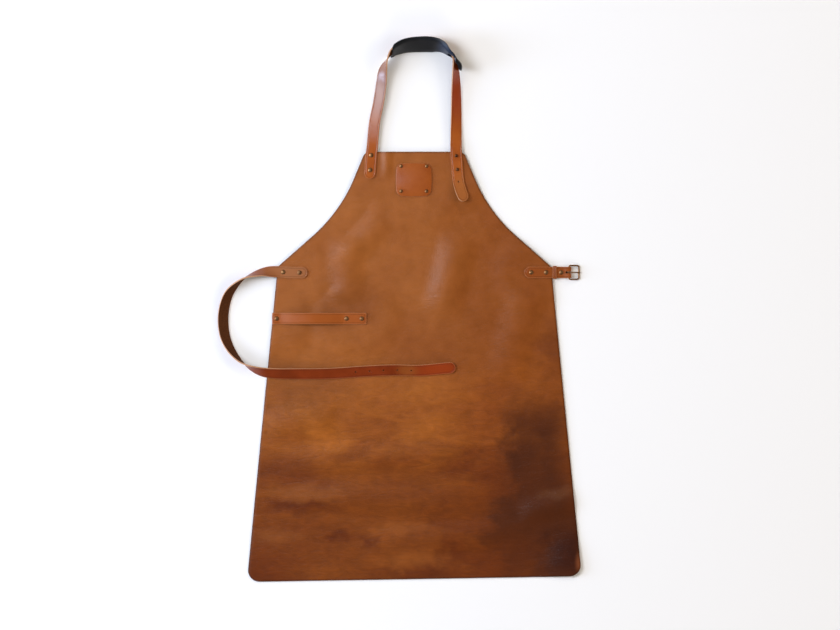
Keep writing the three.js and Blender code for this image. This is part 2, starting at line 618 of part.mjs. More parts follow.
function rivet({ x, y, on, cap, stud, clearOfHide }) {
  const back = clearOfHide ? 0 : BACK_Z;
  const base = on + GAP;
  const foot = [
    [0, back],
    [RIVET.backCap, back],
    [RIVET.backCap, back + RIVET.backThick],
    [RIVET.shank, back + RIVET.backThick],
  ];
  const button = [
    [STUD.waist, base],
    [STUD.button, base + STUD.bellyUp * STUD.height],
    [STUD.waist, base + STUD.shoulderUp * STUD.height],
    [0, base + STUD.height],
  ];
  const dome = [
    [cap, base],
    [DOME.shoulder * cap, base + DOME.shoulderUp * DOME.height],
    [0, base + DOME.height],
  ];
  const head = stud ? button : dome;
  return turned([...foot, [RIVET.shank, base], ...head], RIVET.sides).translate(x, y, 0);
}

const apron = new THREE.Group();

function addPiece(name, geometry, finish, parent = apron) {
  geometry.computeVertexNormals();
  const mesh = new THREE.Mesh(geometry, new THREE.MeshStandardMaterial(MATERIALS[finish]));
  mesh.name = name;
  parent.add(mesh);
}

addPiece('apron_body', apronBody(), 'hide');
addPiece('neck_strap', neckStrap(), 'strapLeather');
addPiece('neck_pad', neckPad(), 'padLeather');
addPiece('badge_patch', badgePatch(), 'strapLeather');
addPiece('waist_strap', waistStrap(), 'strapLeather');
addPiece('towel_loop', towelLoop(), 'strapLeather');
addPiece('buckle_tab', buckleTab(), 'strapLeather');
addPiece('strap_keeper', strapKeeper(), 'strapLeather');

const buckle = new THREE.Group();
buckle.position.set(BAR.x, BAR.y, BAR.z);
buckle.rotation.y = FRAME_DROOP;
apron.add(buckle);
addPiece('buckle_frame', buckleFrame(), 'brass', buckle);
addPiece('buckle_prong', buckleProng(), 'brass', buckle);

RIVETS.forEach((row) => addPiece(row.name, rivet(row), row.stud ? 'darkBrass' : 'brass'));

export default apron;
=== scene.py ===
"""Looks of a leather work apron that lies on its back: hide, patch, straps, pad, rivets and buckle."""

import math
from bisect import bisect
from collections import namedtuple

import bmesh
import bpy
from mathutils import Matrix, Vector, geometry, kdtree


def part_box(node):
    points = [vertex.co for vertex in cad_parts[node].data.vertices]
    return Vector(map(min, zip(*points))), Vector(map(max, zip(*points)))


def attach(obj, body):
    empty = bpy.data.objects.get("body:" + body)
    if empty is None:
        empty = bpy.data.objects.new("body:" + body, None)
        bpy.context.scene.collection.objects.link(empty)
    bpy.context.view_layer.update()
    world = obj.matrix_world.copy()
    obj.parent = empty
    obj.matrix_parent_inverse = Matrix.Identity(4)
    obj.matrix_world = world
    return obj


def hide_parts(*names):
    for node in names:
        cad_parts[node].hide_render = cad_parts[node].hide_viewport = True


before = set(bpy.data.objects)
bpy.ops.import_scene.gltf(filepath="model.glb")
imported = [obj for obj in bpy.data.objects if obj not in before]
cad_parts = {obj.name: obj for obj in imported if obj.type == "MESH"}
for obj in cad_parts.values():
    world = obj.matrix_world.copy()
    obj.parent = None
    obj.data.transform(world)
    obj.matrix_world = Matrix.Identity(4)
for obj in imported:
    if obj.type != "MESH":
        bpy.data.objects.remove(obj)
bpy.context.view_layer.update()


# Studio
# A plain pale floor under the apron, a large cool softbox at the upper left, one low at the left, weaker
# warm fills round them, and a camera that looks straight down with the bib at the top of the picture.
MM = 0.001
MM_PER_PIXEL = 1.869
PICTURE = (840, 630)
ORIGIN_PIXEL = (414.4, 365.5)
LENS = 800
SENSOR = 36
CLIP_END = 50


def linear(hex_colour):
    """Linear RGBA of an sRGB hex colour."""
    shares = [int(hex_colour[i:i + 2], 16) / 255 for i in (1, 3, 5)]
    return [c / 12.92 if c <= 0.04045 else ((c + 0.055) / 1.055) ** 2.4 for c in shares] + [1.0]


def add_node(tree, kind, inputs, **settings):
    """Adds a shader node with its settings, and sets or links its inputs by name or number."""
    made = tree.nodes.new("ShaderNode" + kind)
    for name, value in settings.items():
        setattr(made, name, value)
    for key, value in inputs.items():
        if isinstance(value, bpy.types.NodeSocket):
            tree.links.new(value, made.inputs[key])
        else:
            made.inputs[key].default_value = value
    return made


def new_material(name):
    """An empty node material, as its node tree and its shader."""
    material = bpy.data.materials.new(name)
    material.use_nodes = True
    return material, material.node_tree, material.node_tree.nodes["Principled BSDF"]


def settle(name, bm, materials):
    """Turns a shape in millimetres into an object in metres that sits at the origin."""
    bmesh.ops.scale(bm, vec=(MM, MM, MM), verts=bm.verts)
    mesh = bpy.data.meshes.new(name)
    bm.to_mesh(mesh)
    bm.free()
    for material in materials:
        mesh.materials.append(material)
    mesh.shade_smooth()
    piece = bpy.data.objects.new(name, mesh)
    bpy.context.collection.objects.link(piece)
    return piece


# Matt painted board: pale, even and without gloss.
board, tree, shader = new_material("matt_painted_board")
shader.inputs["Base Color"].default_value = linear("#fbfaf8")
shader.inputs["Roughness"].default_value = 0.9
shader.inputs["Specular IOR Level"].default_value = 0.1

FLOOR_SIDE = 9000
FLOOR_DROP = 0.4
bm = bmesh.new()
bmesh.ops.create_grid(bm, x_segments=1, y_segments=1, size=FLOOR_SIDE / 2)
bmesh.ops.translate(bm, vec=(0, 0, -FLOOR_DROP), verts=bm.verts)
floor = settle("floor", bm, [board])

view_x = (PICTURE[0] / 2 - ORIGIN_PIXEL[0]) * MM_PER_PIXEL * MM
view_y = (ORIGIN_PIXEL[1] - PICTURE[1] / 2) * MM_PER_PIXEL * MM
camera = bpy.data.objects.new("camera", bpy.data.cameras.new("camera"))
camera.data.lens = LENS
camera.data.sensor_width = SENSOR
camera.data.clip_end = CLIP_END
camera.location = (view_x, view_y, PICTURE[0] * MM_PER_PIXEL * MM * LENS / SENSOR)
bpy.context.collection.objects.link(camera)
bpy.context.scene.camera = camera

Softbox = namedtuple("Softbox", "name place aim side watts colour gloss")
SOFTBOXES = [
    Softbox("window", (-3.7, 1.1, 3.8), (-0.05, 0.15, 0), 2.2, 178, "#eef4ff", True),
    Softbox("skylight", (-1.0, 0.55, 2.3), (-0.1, 0.15, 0), 0.6, 6.2, "#f4f4ff", True),
    Softbox("left_wall", (-3.9, 0.0, 1.15), (-0.06, 0.5, 0), 1.5, 138, "#c8dcff", True),
    Softbox("top_fill", (0.6, 5.0, 3.4), (0, 0.2, 0), 2.6, 72, "#fff4e4", False),
    Softbox("lower_fill", (0.8, -4.6, 2.6), (0, 0, 0), 2.6, 76, "#fff4e4", False),
    Softbox("right_fill", (4.6, 0.4, 2.6), (0.3, 0.1, 0), 2.6, 92, "#fff0dc", False),
]
for box in SOFTBOXES:
    lamp = bpy.data.lights.new(box.name, "AREA")
    lamp.size = box.side
    lamp.energy = box.watts
    lamp.color = linear(box.colour)[:3]
    light = bpy.data.objects.new(box.name, lamp)
    light.location = box.place
    light.visible_glossy = box.gloss
    heading = Vector(box.aim) - Vector(box.place)
    light.rotation_euler = heading.to_track_quat("-Z", "Y").to_euler()
    bpy.context.collection.objects.link(light)

world = bpy.data.worlds.new("studio")
world.use_nodes = True
world.node_tree.nodes["Background"].inputs["Color"].default_value = linear("#f0f2f6")
world.node_tree.nodes["Background"].inputs["Strength"].default_value = 0.14
bpy.context.scene.world = world
bpy.context.scene.view_settings.view_transform = "Standard"


# Hide
# One piece of vegetable-tanned cowhide, 2 mm thick, cut with a bib, two armholes, hips and a skirt.
# It is waxed on the grain side, bare on the flesh side, and lies in soft folds on its back.
HIDE_THICK = 2.0
HIDE_BEVEL = 0.5
SHARP_EDGE = 50
HEM_SKEW = 0.0168
ROW_STEP = 6
ROW_TURN = 9
HIDE_COLUMNS = 96
RIM_NEIGHBOURS = 4
CAP_LIFT = 2.0
LIFT_FLAT = 45
LIFT_BLEND = 40

Corner = namedtuple("Corner", "x y radius")
HEM = Corner(313, -399, 21)
HIP = Corner(255.6, 184.5, 14)
ARMHOLE = Corner(138.7, 287.4, 293)
BIB = Corner(92.3, 399.5, 14)

Fold = namedtuple("Fold", "x y heading long wide height")
FOLDS = [
    Fold(-51, 392, 90, 46, 13, 2.2),
    Fold(-128, 180, 93, 66, 40, 5),
    Fold(-92, 238, 48, 56, 34, 3.2),
    Fold(66, 168, 76, 88, 44, 6),
    Fold(190, 60, 75, 100, 46, 3),
    Fold(-212, -104, 4, 70, 42, 3.2),
    Fold(-70, -172, 2, 190, 34, 2.6),
    Fold(-60, -250, -3, 200, 36, 3),
    Fold(60, -322, 6, 170, 36, 2.4),
    Fold(256, -262, 15, 70, 32, 3.6),
    Fold(318, -392, -40, 90, 62, 4),
]

rivet_places = {}
for node_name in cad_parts:
    if "_rivet_" in node_name or "_stud_" in node_name:
        low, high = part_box(node_name)
        rivet_places[node_name] = (low + high) / (2 * MM)
hide_rivets = [place.xy for name, place in rivet_places.items() if name != "tab_rivet_3"]


def smoothstep(value, low, high):
    share = min(max((value - low) / (high - low), 0), 1)
    return share * share * (3 - 2 * share)


def hide_height(x, y):
    """Height of the hide's back above the floor: its folds, and the lift over the rivets' back caps."""
    height = 0
    for fold in FOLDS:
        heading = math.radians(fold.heading)
        dx, dy = x - fold.x, y - fold.y
        along = (dx * math.cos(heading) + dy * math.sin(heading)) / fold.long
        across = (dy * math.cos(heading) - dx * math.sin(heading)) / fold.wide
        if abs(along) < 1 and abs(across) < 1:
            height += fold.height * (1 - along ** 4) ** 2 * (1 - across ** 2) ** 2
    nearest = min((Vector((x, y)) - place).length for place in hide_rivets)
    return height + CAP_LIFT * (1 - smoothstep(nearest, LIFT_FLAT, LIFT_FLAT + LIFT_BLEND))


def hide_rows():
    """Half width and height of the cut edge, from the hem up to the bib, with its corners rounded."""
    corners = [HEM, HIP, ARMHOLE, BIB]
    line = [Vector((0, HEM.y)), *[Vector((c.x, c.y)) for c in corners], Vector((0, BIB.y))]
    rows = []
    for corner, before, here, after in zip(corners, line, line[1:], line[2:]):
        back = (before - here).normalized()
        ahead = (after - here).normalized()
        half = back.angle(ahead) / 2
        start = here + back * corner.radius / math.tan(half)
        middle = here + (back + ahead).normalized() * corner.radius / math.sin(half)
        if rows:
            straight = start - rows[-1]
            steps = math.ceil(straight.length / ROW_STEP)
            rows += [rows[-1] + straight * k / steps for k in range(1, steps)]
        turn = (2 * half - math.pi) * math.copysign(1, back.cross(ahead))
        steps = math.ceil(max(abs(turn) * corner.radius / ROW_STEP, abs(turn) / math.radians(ROW_TURN)))
        spoke = start - middle
        rows += [middle + Matrix.Rotation(turn * k / steps, 2) @ spoke for k in range(steps + 1)]
    return rows


EASED = {"interpolation_type": "SMOOTHSTEP"}


def spot_share(tree, place, middle, reach, core=0.0, inside=1.0, outside=0.0):
    """Strength of an oval spot at a place: one value inside its core, eased to another at its rim."""
    scale = (1 / reach[0], 1 / reach[1], 0)
    shift = (-middle[0] / reach[0], -middle[1] / reach[1], 0)
    spot = add_node(tree, "Mapping", {"Vector": place, "Location": shift, "Scale": scale}).outputs[0]
    out = add_node(tree, "VectorMath", {0: spot}, operation="LENGTH").outputs["Value"]
    return add_node(tree, "MapRange", {0: out, 1: core, 2: 1.0, 3: inside, 4: outside}, **EASED).outputs[0]


PaintedLight = namedtuple("PaintedLight", "middle reach tint")
# Painted shade multiplied into the hide's colour: darker spots at the lower left corner, the left of the
# skirt, the right hip, the left chest and the waist, and darker bands along the skirt's creases and its hem.
HIDE_PAINTED_SHADE = [
    PaintedLight((-0.30, -0.38), (0.15, 0.12), "#d8c4a4"),
    PaintedLight((-0.22, -0.05), (0.15, 0.10), "#ebefff"),
    PaintedLight((0.27, 0.03), (0.07, 0.10), "#d8d0c4"),
    PaintedLight((-0.13, 0.12), (0.11, 0.08), "#e2dcd6"),
    PaintedLight((0.0, 0.04), (0.15, 0.1), "#eee6dc"),
    PaintedLight((-0.223, -0.264), (0.13, 0.024), "#d2c0ae"),
    PaintedLight((-0.232, -0.203), (0.12, 0.04), "#e4d8cc"),
    PaintedLight((-0.017, -0.182), (0.11, 0.03), "#e4d8cc"),
    PaintedLight((0.08, -0.184), (0.045, 0.026), "#dfd2c4"),
    PaintedLight((-0.139, -0.317), (0.05, 0.02), "#d8c8b8"),
    PaintedLight((-0.083, -0.331), (0.03, 0.022), "#d4c2b0"),
    PaintedLight((0.0, -0.39), (0.16, 0.024), "#d6c6b6"),
    PaintedLight((0.07, -0.345), (0.045, 0.045), "#dfd2c4"),
]
# Painted highlights mixed in as paler brown: bands beside the skirt's creases, and a spot on the fold near
# the lower right.
PAINTED_HIGHLIGHTS = [
    PaintedLight((-0.2, -0.238), (0.12, 0.026), "#a8622a"),
    PaintedLight((-0.265, -0.318), (0.07, 0.026), "#a05c28"),
    PaintedLight((0.0, -0.36), (0.1, 0.03), "#a05a24"),
    PaintedLight((-0.03, -0.302), (0.08, 0.018), "#a05a24"),
    PaintedLight((0.268, -0.238), (0.06, 0.02), "#744624"),
]
HIGHLIGHT_SHARE = 0.32
# Painted shade that deepens the lower right corner, laid over the dark band.
CORNER_SHADE = PaintedLight((0.285, -0.352), (0.075, 0.075), "#baa692")

# Waxed cowhide, grain side: warm brown with soft clouds on the bib, and streaks and wrinkles on the skirt.
# Painted shade makes it darker and redder towards the hem, darker towards the right and in spots and crease
# bands, and painted highlights lie beside the creases. Its pores are drawn 2 mm wide so that they show, folds
# have a low waxy sheen, and a thin dark line follows the cut edge, partly burnish and partly painted shade.
waxed_hide, tree, shader = new_material("waxed_cowhide_grain")
place = add_node(tree, "TexCoord", {}).outputs["Object"]
across, height, _ = add_node(tree, "SeparateXYZ", {0: place}).outputs
streak_place = add_node(tree, "Mapping", {"Vector": place, "Scale": (1 / 0.14, 1 / 0.055, 1)}).outputs[0]
streaks = add_node(tree, "TexNoise", {"Vector": streak_place, "Scale": 1.0, "Detail": 5, "Roughness": 0.5,
                                      "Distortion": 0.6}).outputs[0]
clouds = add_node(tree, "TexNoise", {"Vector": place, "Scale": 1 / 0.08, "Detail": 5,
                                     "Roughness": 0.5}).outputs[0]
blotches = add_node(tree, "TexNoise", {"Vector": place, "Scale": 1 / 0.022, "Detail": 4}).outputs[0]
wrinkle_place = add_node(tree, "Mapping", {"Vector": place, "Scale": (1 / 0.03, 1 / 0.009, 1)}).outputs[0]
wrinkles = add_node(tree, "TexNoise", {"Vector": wrinkle_place, "Scale": 1.0, "Detail": 6,
                                       "Roughness": 0.66, "Distortion": 1.2}).outputs[0]
pores = add_node(tree, "TexVoronoi", {"Vector": place, "Scale": 1 / 0.002}).outputs[0]
cloud_share = add_node(tree, "MapRange", {0: clouds, 1: 0.3, 2: 0.7}).outputs[0]
bib_tone = add_node(tree, "Mix", {0: cloud_share, 6: linear("#93511e"), 7: linear("#a05c25")},
                    data_type="RGBA").outputs[2]
streak_share = add_node(tree, "MapRange", {0: streaks, 1: 0.32, 2: 0.68}).outputs[0]
skirt_tone = add_node(tree, "Mix", {0: streak_share, 6: linear("#8f4a12"), 7: linear("#a55b18")},
                      data_type="RGBA").outputs[2]
skirt_share = add_node(tree, "MapRange", {0: height, 1: 0.1, 2: -0.12, 3: 0.1, 4: 1.0}, **EASED).outputs[0]
cloudy = add_node(tree, "Mix", {0: skirt_share, 6: bib_tone, 7: skirt_tone}, data_type="RGBA").outputs[2]
blotch_share = add_node(tree, "MapRange", {0: blotches, 1: 0.3, 2: 0.7, 3: 0.92, 4: 1.06}).outputs[0]
wrinkle_share = add_node(tree, "MapRange", {0: wrinkles, 1: 0.33, 2: 0.67, 3: 0.84, 4: 1.1}).outputs[0]
streak_drift = add_node(tree, "MapRange", {0: streaks, 1: 0.0, 2: 1.0, 3: -0.06, 4: 0.06}).outputs[0]
low_place = add_node(tree, "Math", {0: height, 1: streak_drift}).outputs[0]
# Painted shade: darker and redder towards the hem, and darker and warmer towards the right.
hem_shade_share = add_node(tree, "MapRange", {0: low_place, 1: -0.09, 2: -0.24}, **EASED).outputs[0]
right_shade_share = add_node(tree, "MapRange", {0: across, 1: 0.0, 2: 0.16}, **EASED).outputs[0]
stir = add_node(tree, "TexNoise", {"Vector": place, "Scale": 1 / 0.025, "Detail": 5}).outputs["Color"]
stir = add_node(tree, "VectorMath", {0: stir, 1: (0.5, 0.5, 0.5)}, operation="SUBTRACT").outputs[0]
stirred = add_node(tree, "VectorMath", {0: stir, 1: (0.1, 0.03, 0), 2: place},
                   operation="MULTIPLY_ADD").outputs[0]
filters = [(1.0, blotch_share), (skirt_share, wrinkle_share), (hem_shade_share, linear("#cbbdb4")),
           (right_shade_share, linear("#e7d8ad"))]
filters += [(spot_share(tree, stirred, s.middle, s.reach), linear(s.tint)) for s in HIDE_PAINTED_SHADE]
hide_tone = cloudy
for share, tint in filters:
    hide_tone = add_node(tree, "Mix", {0: share, 6: hide_tone, 7: tint}, data_type="RGBA",
                         blend_type="MULTIPLY").outputs[2]

# Painted shade: a broad dark band down the right of the skirt that widens into the corner, with smoky rims,
# and a painted highlight on the curled edge of the corner.
smoke = add_node(tree, "TexNoise", {"Vector": place, "Scale": 1 / 0.05, "Detail": 6,
                                    "Roughness": 0.6}).outputs[0]
smoke_drift = add_node(tree, "MapRange", {0: smoke, 1: 0.0, 2: 1.0, 3: -0.05, 4: 0.05}).outputs[0]
drifted = add_node(tree, "Math", {0: across, 1: smoke_drift}).outputs[0]
finger_reach = add_node(tree, "MapRange", {0: height, 1: -0.16, 2: -0.3, 3: 0.2, 4: 1.3}, **EASED).outputs[0]
fingers = add_node(tree, "Math", {0: streak_drift, 1: finger_reach}, operation="MULTIPLY").outputs[0]
fingered = add_node(tree, "Math", {0: drifted, 1: fingers}).outputs[0]
flare = add_node(tree, "MapRange", {0: height, 1: -0.2, 2: -0.3, 3: 0.0, 4: 0.025}, **EASED).outputs[0]
flared = add_node(tree, "Math", {0: fingered, 1: flare}).outputs[0]
sunk = add_node(tree, "Math", {0: height, 1: smoke_drift}).outputs[0]
dark_band_shade = add_node(tree, "MapRange", {0: smoke, 1: 0.35, 2: 0.65, 3: 0.8, 4: 1.0}).outputs[0]
dark_band_limits = [
    add_node(tree, "MapRange", {0: flared, 1: 0.14, 2: 0.2}, **EASED).outputs[0],
    add_node(tree, "MapRange", {0: sunk, 1: -0.02, 2: -0.12}, **EASED).outputs[0],
    spot_share(tree, place, (0.33, -0.16), (0.085, 0.15), 0.4, 0.3, 1.0),
    spot_share(tree, place, (0.17, -0.38), (0.1, 0.1), 0.4, 0.6, 1.0),
]
for limit in dark_band_limits:
    dark_band_shade = add_node(tree, "Math", {0: dark_band_shade, 1: limit}, operation="MULTIPLY").outputs[0]
edge = add_node(tree, "Attribute", {}, attribute_name="edge").outputs["Fac"]
# Dark line along the cut edge: partly burnish, partly painted shade of the edge.
edge_burnish_and_shade = add_node(tree, "MapRange", {0: edge, 1: 0.0, 2: 0.004, 3: 0.6, 4: 0.0}).outputs[0]
corner_share = spot_share(tree, stirred, CORNER_SHADE.middle, CORNER_SHADE.reach)
# Painted highlight where the lower right corner curls up.
curl_highlight_share = spot_share(tree, place, (0.311, -0.368), (0.014, 0.03), 0.2, 0.6)
# The painted shade of the dark band goes in first, then the painted highlights, the painted shade of the
# corner, the painted highlight of the curl and the dark edge line.
leather = add_node(tree, "Mix", {0: dark_band_shade, 6: hide_tone, 7: linear("#4b2005")},
                   data_type="RGBA").outputs[2]
for spot in PAINTED_HIGHLIGHTS:
    share = spot_share(tree, stirred, spot.middle, spot.reach, inside=HIGHLIGHT_SHARE)
    leather = add_node(tree, "Mix", {0: share, 6: leather, 7: linear(spot.tint)}, data_type="RGBA").outputs[2]
leather = add_node(tree, "Mix", {0: corner_share, 6: leather, 7: linear(CORNER_SHADE.tint)},
                   data_type="RGBA", blend_type="MULTIPLY").outputs[2]
for share, colour in ((curl_highlight_share, "#94512c"), (edge_burnish_and_shade, "#3a1c09")):
    leather = add_node(tree, "Mix", {0: share, 6: leather, 7: linear(colour)}, data_type="RGBA").outputs[2]
tree.links.new(leather, shader.inputs["Base Color"])
shader.inputs["Specular IOR Level"].default_value = 0.4
gloss = add_node(tree, "MapRange", {0: blotches, 1: 0.3, 2: 0.7, 3: 0.35, 4: 0.43}).outputs[0]
for share in (hem_shade_share, dark_band_shade):
    gloss = add_node(tree, "Mix", {0: share, 2: gloss, 3: 0.34}).outputs[0]
tree.links.new(gloss, shader.inputs["Roughness"])
swell = add_node(tree, "Bump", {"Height": streaks, "Distance": 0.004, "Strength": 0.3}).outputs[0]
ripples = add_node(tree, "Bump", {"Height": wrinkles, "Distance": 0.001, "Strength": 0.6,
                                  "Normal": swell}).outputs[0]
dimples = add_node(tree, "Bump", {"Height": blotches, "Distance": 0.001, "Strength": 0.3,
                                  "Normal": ripples}).outputs[0]
grain = add_node(tree, "Bump", {"Height": pores, "Distance": 0.0002, "Strength": 0.25,
                                "Normal": dimples}).outputs[0]
tree.links.new(grain, shader.inputs["Normal"])

# Flesh side: raw brown suede, dull and slightly fibrous.
flesh_side, tree, shader = new_material("raw_flesh_side")
place = add_node(tree, "TexCoord", {}).outputs["Object"]
fibre_place = add_node(tree, "Mapping", {"Vector": place,
                                         "Scale": (1 / 0.004, 1 / 0.0015, 1 / 0.003)}).outputs[0]
fibres = add_node(tree, "TexNoise", {"Vector": fibre_place, "Scale": 1.0, "Detail": 5}).outputs[0]
fibre_share = add_node(tree, "MapRange", {0: fibres, 1: 0.3, 2: 0.7}).outputs[0]
suede = add_node(tree, "Mix", {0: fibre_share, 6: linear("#452410"), 7: linear("#5b3319")}, data_type="RGBA")
tree.links.new(suede.outputs[2], shader.inputs["Base Color"])
shader.inputs["Roughness"].default_value = 0.9
shader.inputs["Specular IOR Level"].default_value = 0.15
nap = add_node(tree, "Bump", {"Height": fibres, "Distance": 0.0005, "Strength": 0.6}).outputs[0]
tree.links.new(nap, shader.inputs["Normal"])

# Burnished edge of the hide: dark, rubbed smooth.
burnished_edge, tree, shader = new_material("burnished_edge")
place = add_node(tree, "TexCoord", {}).outputs["Object"]
rubbed = add_node(tree, "TexNoise", {"Vector": place, "Scale": 1 / 0.006, "Detail": 3}).outputs[0]
edge_tone = add_node(tree, "Mix", {0: rubbed, 6: linear("#38200f"), 7: linear("#5f371b")}, data_type="RGBA")
tree.links.new(edge_tone.outputs[2], shader.inputs["Base Color"])
shader.inputs["Roughness"].default_value = 0.5

rows = hide_rows()
bm = bmesh.new()
bmesh.ops.create_grid(bm, x_segments=HIDE_COLUMNS, y_segments=len(rows) - 1, size=0.5)
for vert in bm.verts:
    row = rows[round((vert.co.y + 0.5) * (len(rows) - 1))]
    x = row.x * 2 * vert.co.x
    y = row.y + HEM_SKEW * min(max(row.y / HEM.y, 0), 1) ** 2 * x
    vert.co = (x, y, hide_height(x, y) + HIDE_THICK)
rim = [edge for edge in bm.edges if edge.is_boundary]
rim_tree = kdtree.KDTree(len(rim))
for i, edge in enumerate(rim):
    rim_tree.insert(((edge.verts[0].co.xy + edge.verts[1].co.xy) / 2).to_3d(), i)
rim_tree.balance()
edge_layer = bm.verts.layers.float.new("edge")
for vert in bm.verts:
    gaps = []
    for _, i, _ in rim_tree.find_n(vert.co.xy.to_3d(), RIM_NEIGHBOURS):
        ends = [end.co.xy for end in rim[i].verts]
        share = geometry.intersect_point_line(vert.co.xy, *ends)[1]
        gaps.append((vert.co.xy - ends[0].lerp(ends[1], min(max(share, 0), 1))).length)
    vert[edge_layer] = min(gaps) * MM
hide_area = sum(face.calc_area() for face in bm.faces) * MM * MM
hide = settle("apron_hide", bm, [waxed_hide, flesh_side, burnished_edge])


def ease_edges(piece, width):
    """Rounds the sharp edges of a piece's wall."""
    eased = piece.modifiers.new("eased_edge", "BEVEL")
    eased.width = width * MM
    eased.segments = 2
    eased.limit_method = "ANGLE"
    eased.angle_limit = math.radians(SHARP_EDGE)


def give_thickness(piece, thick, offset, bevel):
    """Gives a sheet its wall, with the flesh side and the cut edge as its second and third materials."""
    wall = piece.modifiers.new("wall", "SOLIDIFY")
    wall.thickness = thick * MM
    wall.offset = offset
    wall.material_offset = 1
    wall.material_offset_rim = 2
    ease_edges(piece, bevel)


give_thickness(hide, HIDE_THICK, -1, HIDE_BEVEL)
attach(hide, "apron")
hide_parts("apron_body")


# Neck strap
# One strap of firm russet leather, 21 mm wide and 2.4 mm thick, with rounded ends and a creased line
# inside each edge. It is riveted at the left of the bib, and its tail is buttoned on studs at the right.
STRAP_WIDTH = 21
STRAP_THICK = 2.4
STRAP_BEVEL = 0.55
STRAP_STEP = 3
STRAP_COLUMNS = 10
TIP_TURNS = [10, 22, 35, 49, 64, 80]
HIDE_TOP = CAP_LIFT + HIDE_THICK
STRAP_GAP = 0.3
ON_HIDE = HIDE_TOP + STRAP_GAP

Station = namedtuple("Station", "x y roll under")
NECK_STATIONS = [
    Station(-84.4, 349.2, 0, ON_HIDE),
    Station(-82.6, 365.4, 0, ON_HIDE),
    Station(-80.8, 392.9, 0, ON_HIDE),
    Station(-78.6, 410, -3, 3.8),
    Station(-74.6, 454, -15, 1.2),
    Station(-67.2, 490, -21, 0.8),
    Station(-62, 525, -26, 2),
    Station(-59, 550, -44, 4.5),
    Station(-51.8, 570, -84, 6.6),
    Station(-42, 586.5, -110, 7),
    Station(-28.5, 595, -124, 6.4),
    Station(-12.8, 600.8, -132, 5.8),
    Station(10.5, 603.8, -136, 5.4),
    Station(33.3, 602.9, -134, 5.6),
    Station(49, 598.4, -122, 6.2),
    Station(60.6, 590.4, -104, 7.4),
    Station(69.4, 580.8, -92, 7.8),
    Station(74.5, 569, -78, 7.2),
    Station(77, 551, -58, 5.4),
    Station(78, 515, -38, 1.5),
    Station(78.2, 470, -26, 0.8),
    Station(77.8, 430, -12, 1.8),
    Station(77.8, 406, -2, 4),
    Station(78.3, 392, 0, ON_HIDE),
    Station(80.2, 366.4, 0, ON_HIDE),
    Station(82.2, 345, -6, 4.6),
    Station(87, 326, -16, 6),
    Station(94.6, 307.5, -24, 8.5),
]
NECK_SPARE_HOLE = 38
HOLE_RADIUS = 1.4
HOLE_SIDES = 20

Lie = namedtuple("Lie", "middle heading across normal")
# Spots mixed into a strap's face: wear, painted shade and painted sheen.
ToneSpot = namedtuple("ToneSpot", "middle reach colour share")


class Course:
    """The way a strap lies: its middle, across and face directions at any distance along it."""

    SAMPLES = 24

    def __init__(self, stations):
        self.plan = self.smooth([Vector((s.x, s.y, 0)) for s in stations])
        self.lay = self.smooth([Vector((s.roll, s.under, 0)) for s in stations])
        self.marks = [0]
        for here, there in zip(self.plan, self.plan[1:]):
            self.marks.append(self.marks[-1] + (there - here).length)
        self.length = self.marks[-1]

    def smooth(self, points):
        """Even curve through the points, as many samples."""
        ends = [2 * points[0] - points[1], *points, 2 * points[-1] - points[-2]]
        line = [points[0]]
        for before, start, end, after in zip(ends, ends[1:], ends[2:], ends[3:]):
            first = start + (end - before) / 6
            second = end - (after - start) / 6
            line += geometry.interpolate_bezier(start, first, second, end, self.SAMPLES)[1:]
        return line

    def lie(self, distance):
        i = min(max(bisect(self.marks, distance) - 1, 0), len(self.marks) - 2)
        share = (distance - self.marks[i]) / (self.marks[i + 1] - self.marks[i])
        near, far = max(i - 1, 0), min(i + 2, len(self.plan) - 1)
        behind, ahead = self.plan[i + 1] - self.plan[near], self.plan[far] - self.plan[i]
        heading = behind.lerp(ahead, share).normalized()
        degrees, under, _ = self.lay[i].lerp(self.lay[i + 1], share)
        roll = math.radians(degrees)
        up = Vector((0, 0, 1))
        left = up.cross(heading)
        rise = (STRAP_WIDTH * abs(math.sin(roll)) + STRAP_THICK * abs(math.cos(roll))) / 2
        middle = self.plan[i].lerp(self.plan[i + 1], share) + up * (under + rise)
        across = left * math.cos(roll) + up * math.sin(roll)
        return Lie(middle, heading, across, heading.cross(across))


def strap_sheet(course, round_start, round_end):
    """The middle layer of a strap along its course, with the distance to its cut edge at each point."""
    half = STRAP_WIDTH / 2
    tip = [half * (1 - math.cos(math.radians(turn))) for turn in TIP_TURNS]
    steps = math.ceil((course.length - 2 * half) / STRAP_STEP)
    run = [half + (course.length - 2 * half) * k / steps for k in range(steps + 1)]
    start = tip if round_start else [0, half / 2]
    end = [course.length - d for d in reversed(tip if round_end else [0, half / 2])]
    marks = start + run + end
    bm = bmesh.new()
    bmesh.ops.create_grid(bm, x_segments=len(marks) - 1, y_segments=STRAP_COLUMNS, size=0.5)
    edge_layer = bm.verts.layers.float.new("edge")
    for vert in bm.verts:
        along = marks[round((vert.co.x + 0.5) * (len(marks) - 1))]
        short_start = max(half - along, 0) if round_start else 0
        short_end = max(half - course.length + along, 0) if round_end else 0
        reach = math.sqrt(half ** 2 - max(short_start, short_end) ** 2)
        out = 2 * vert.co.y * reach
        to_side = half - math.hypot(max(short_start, short_end), out)
        to_start = half if round_start else along
        to_end = half if round_end else course.length - along
        vert[edge_layer] = min(to_side, to_start, to_end) * MM
        lie = course.lie(along)
        vert.co = lie.middle + lie.across * out
    return bm


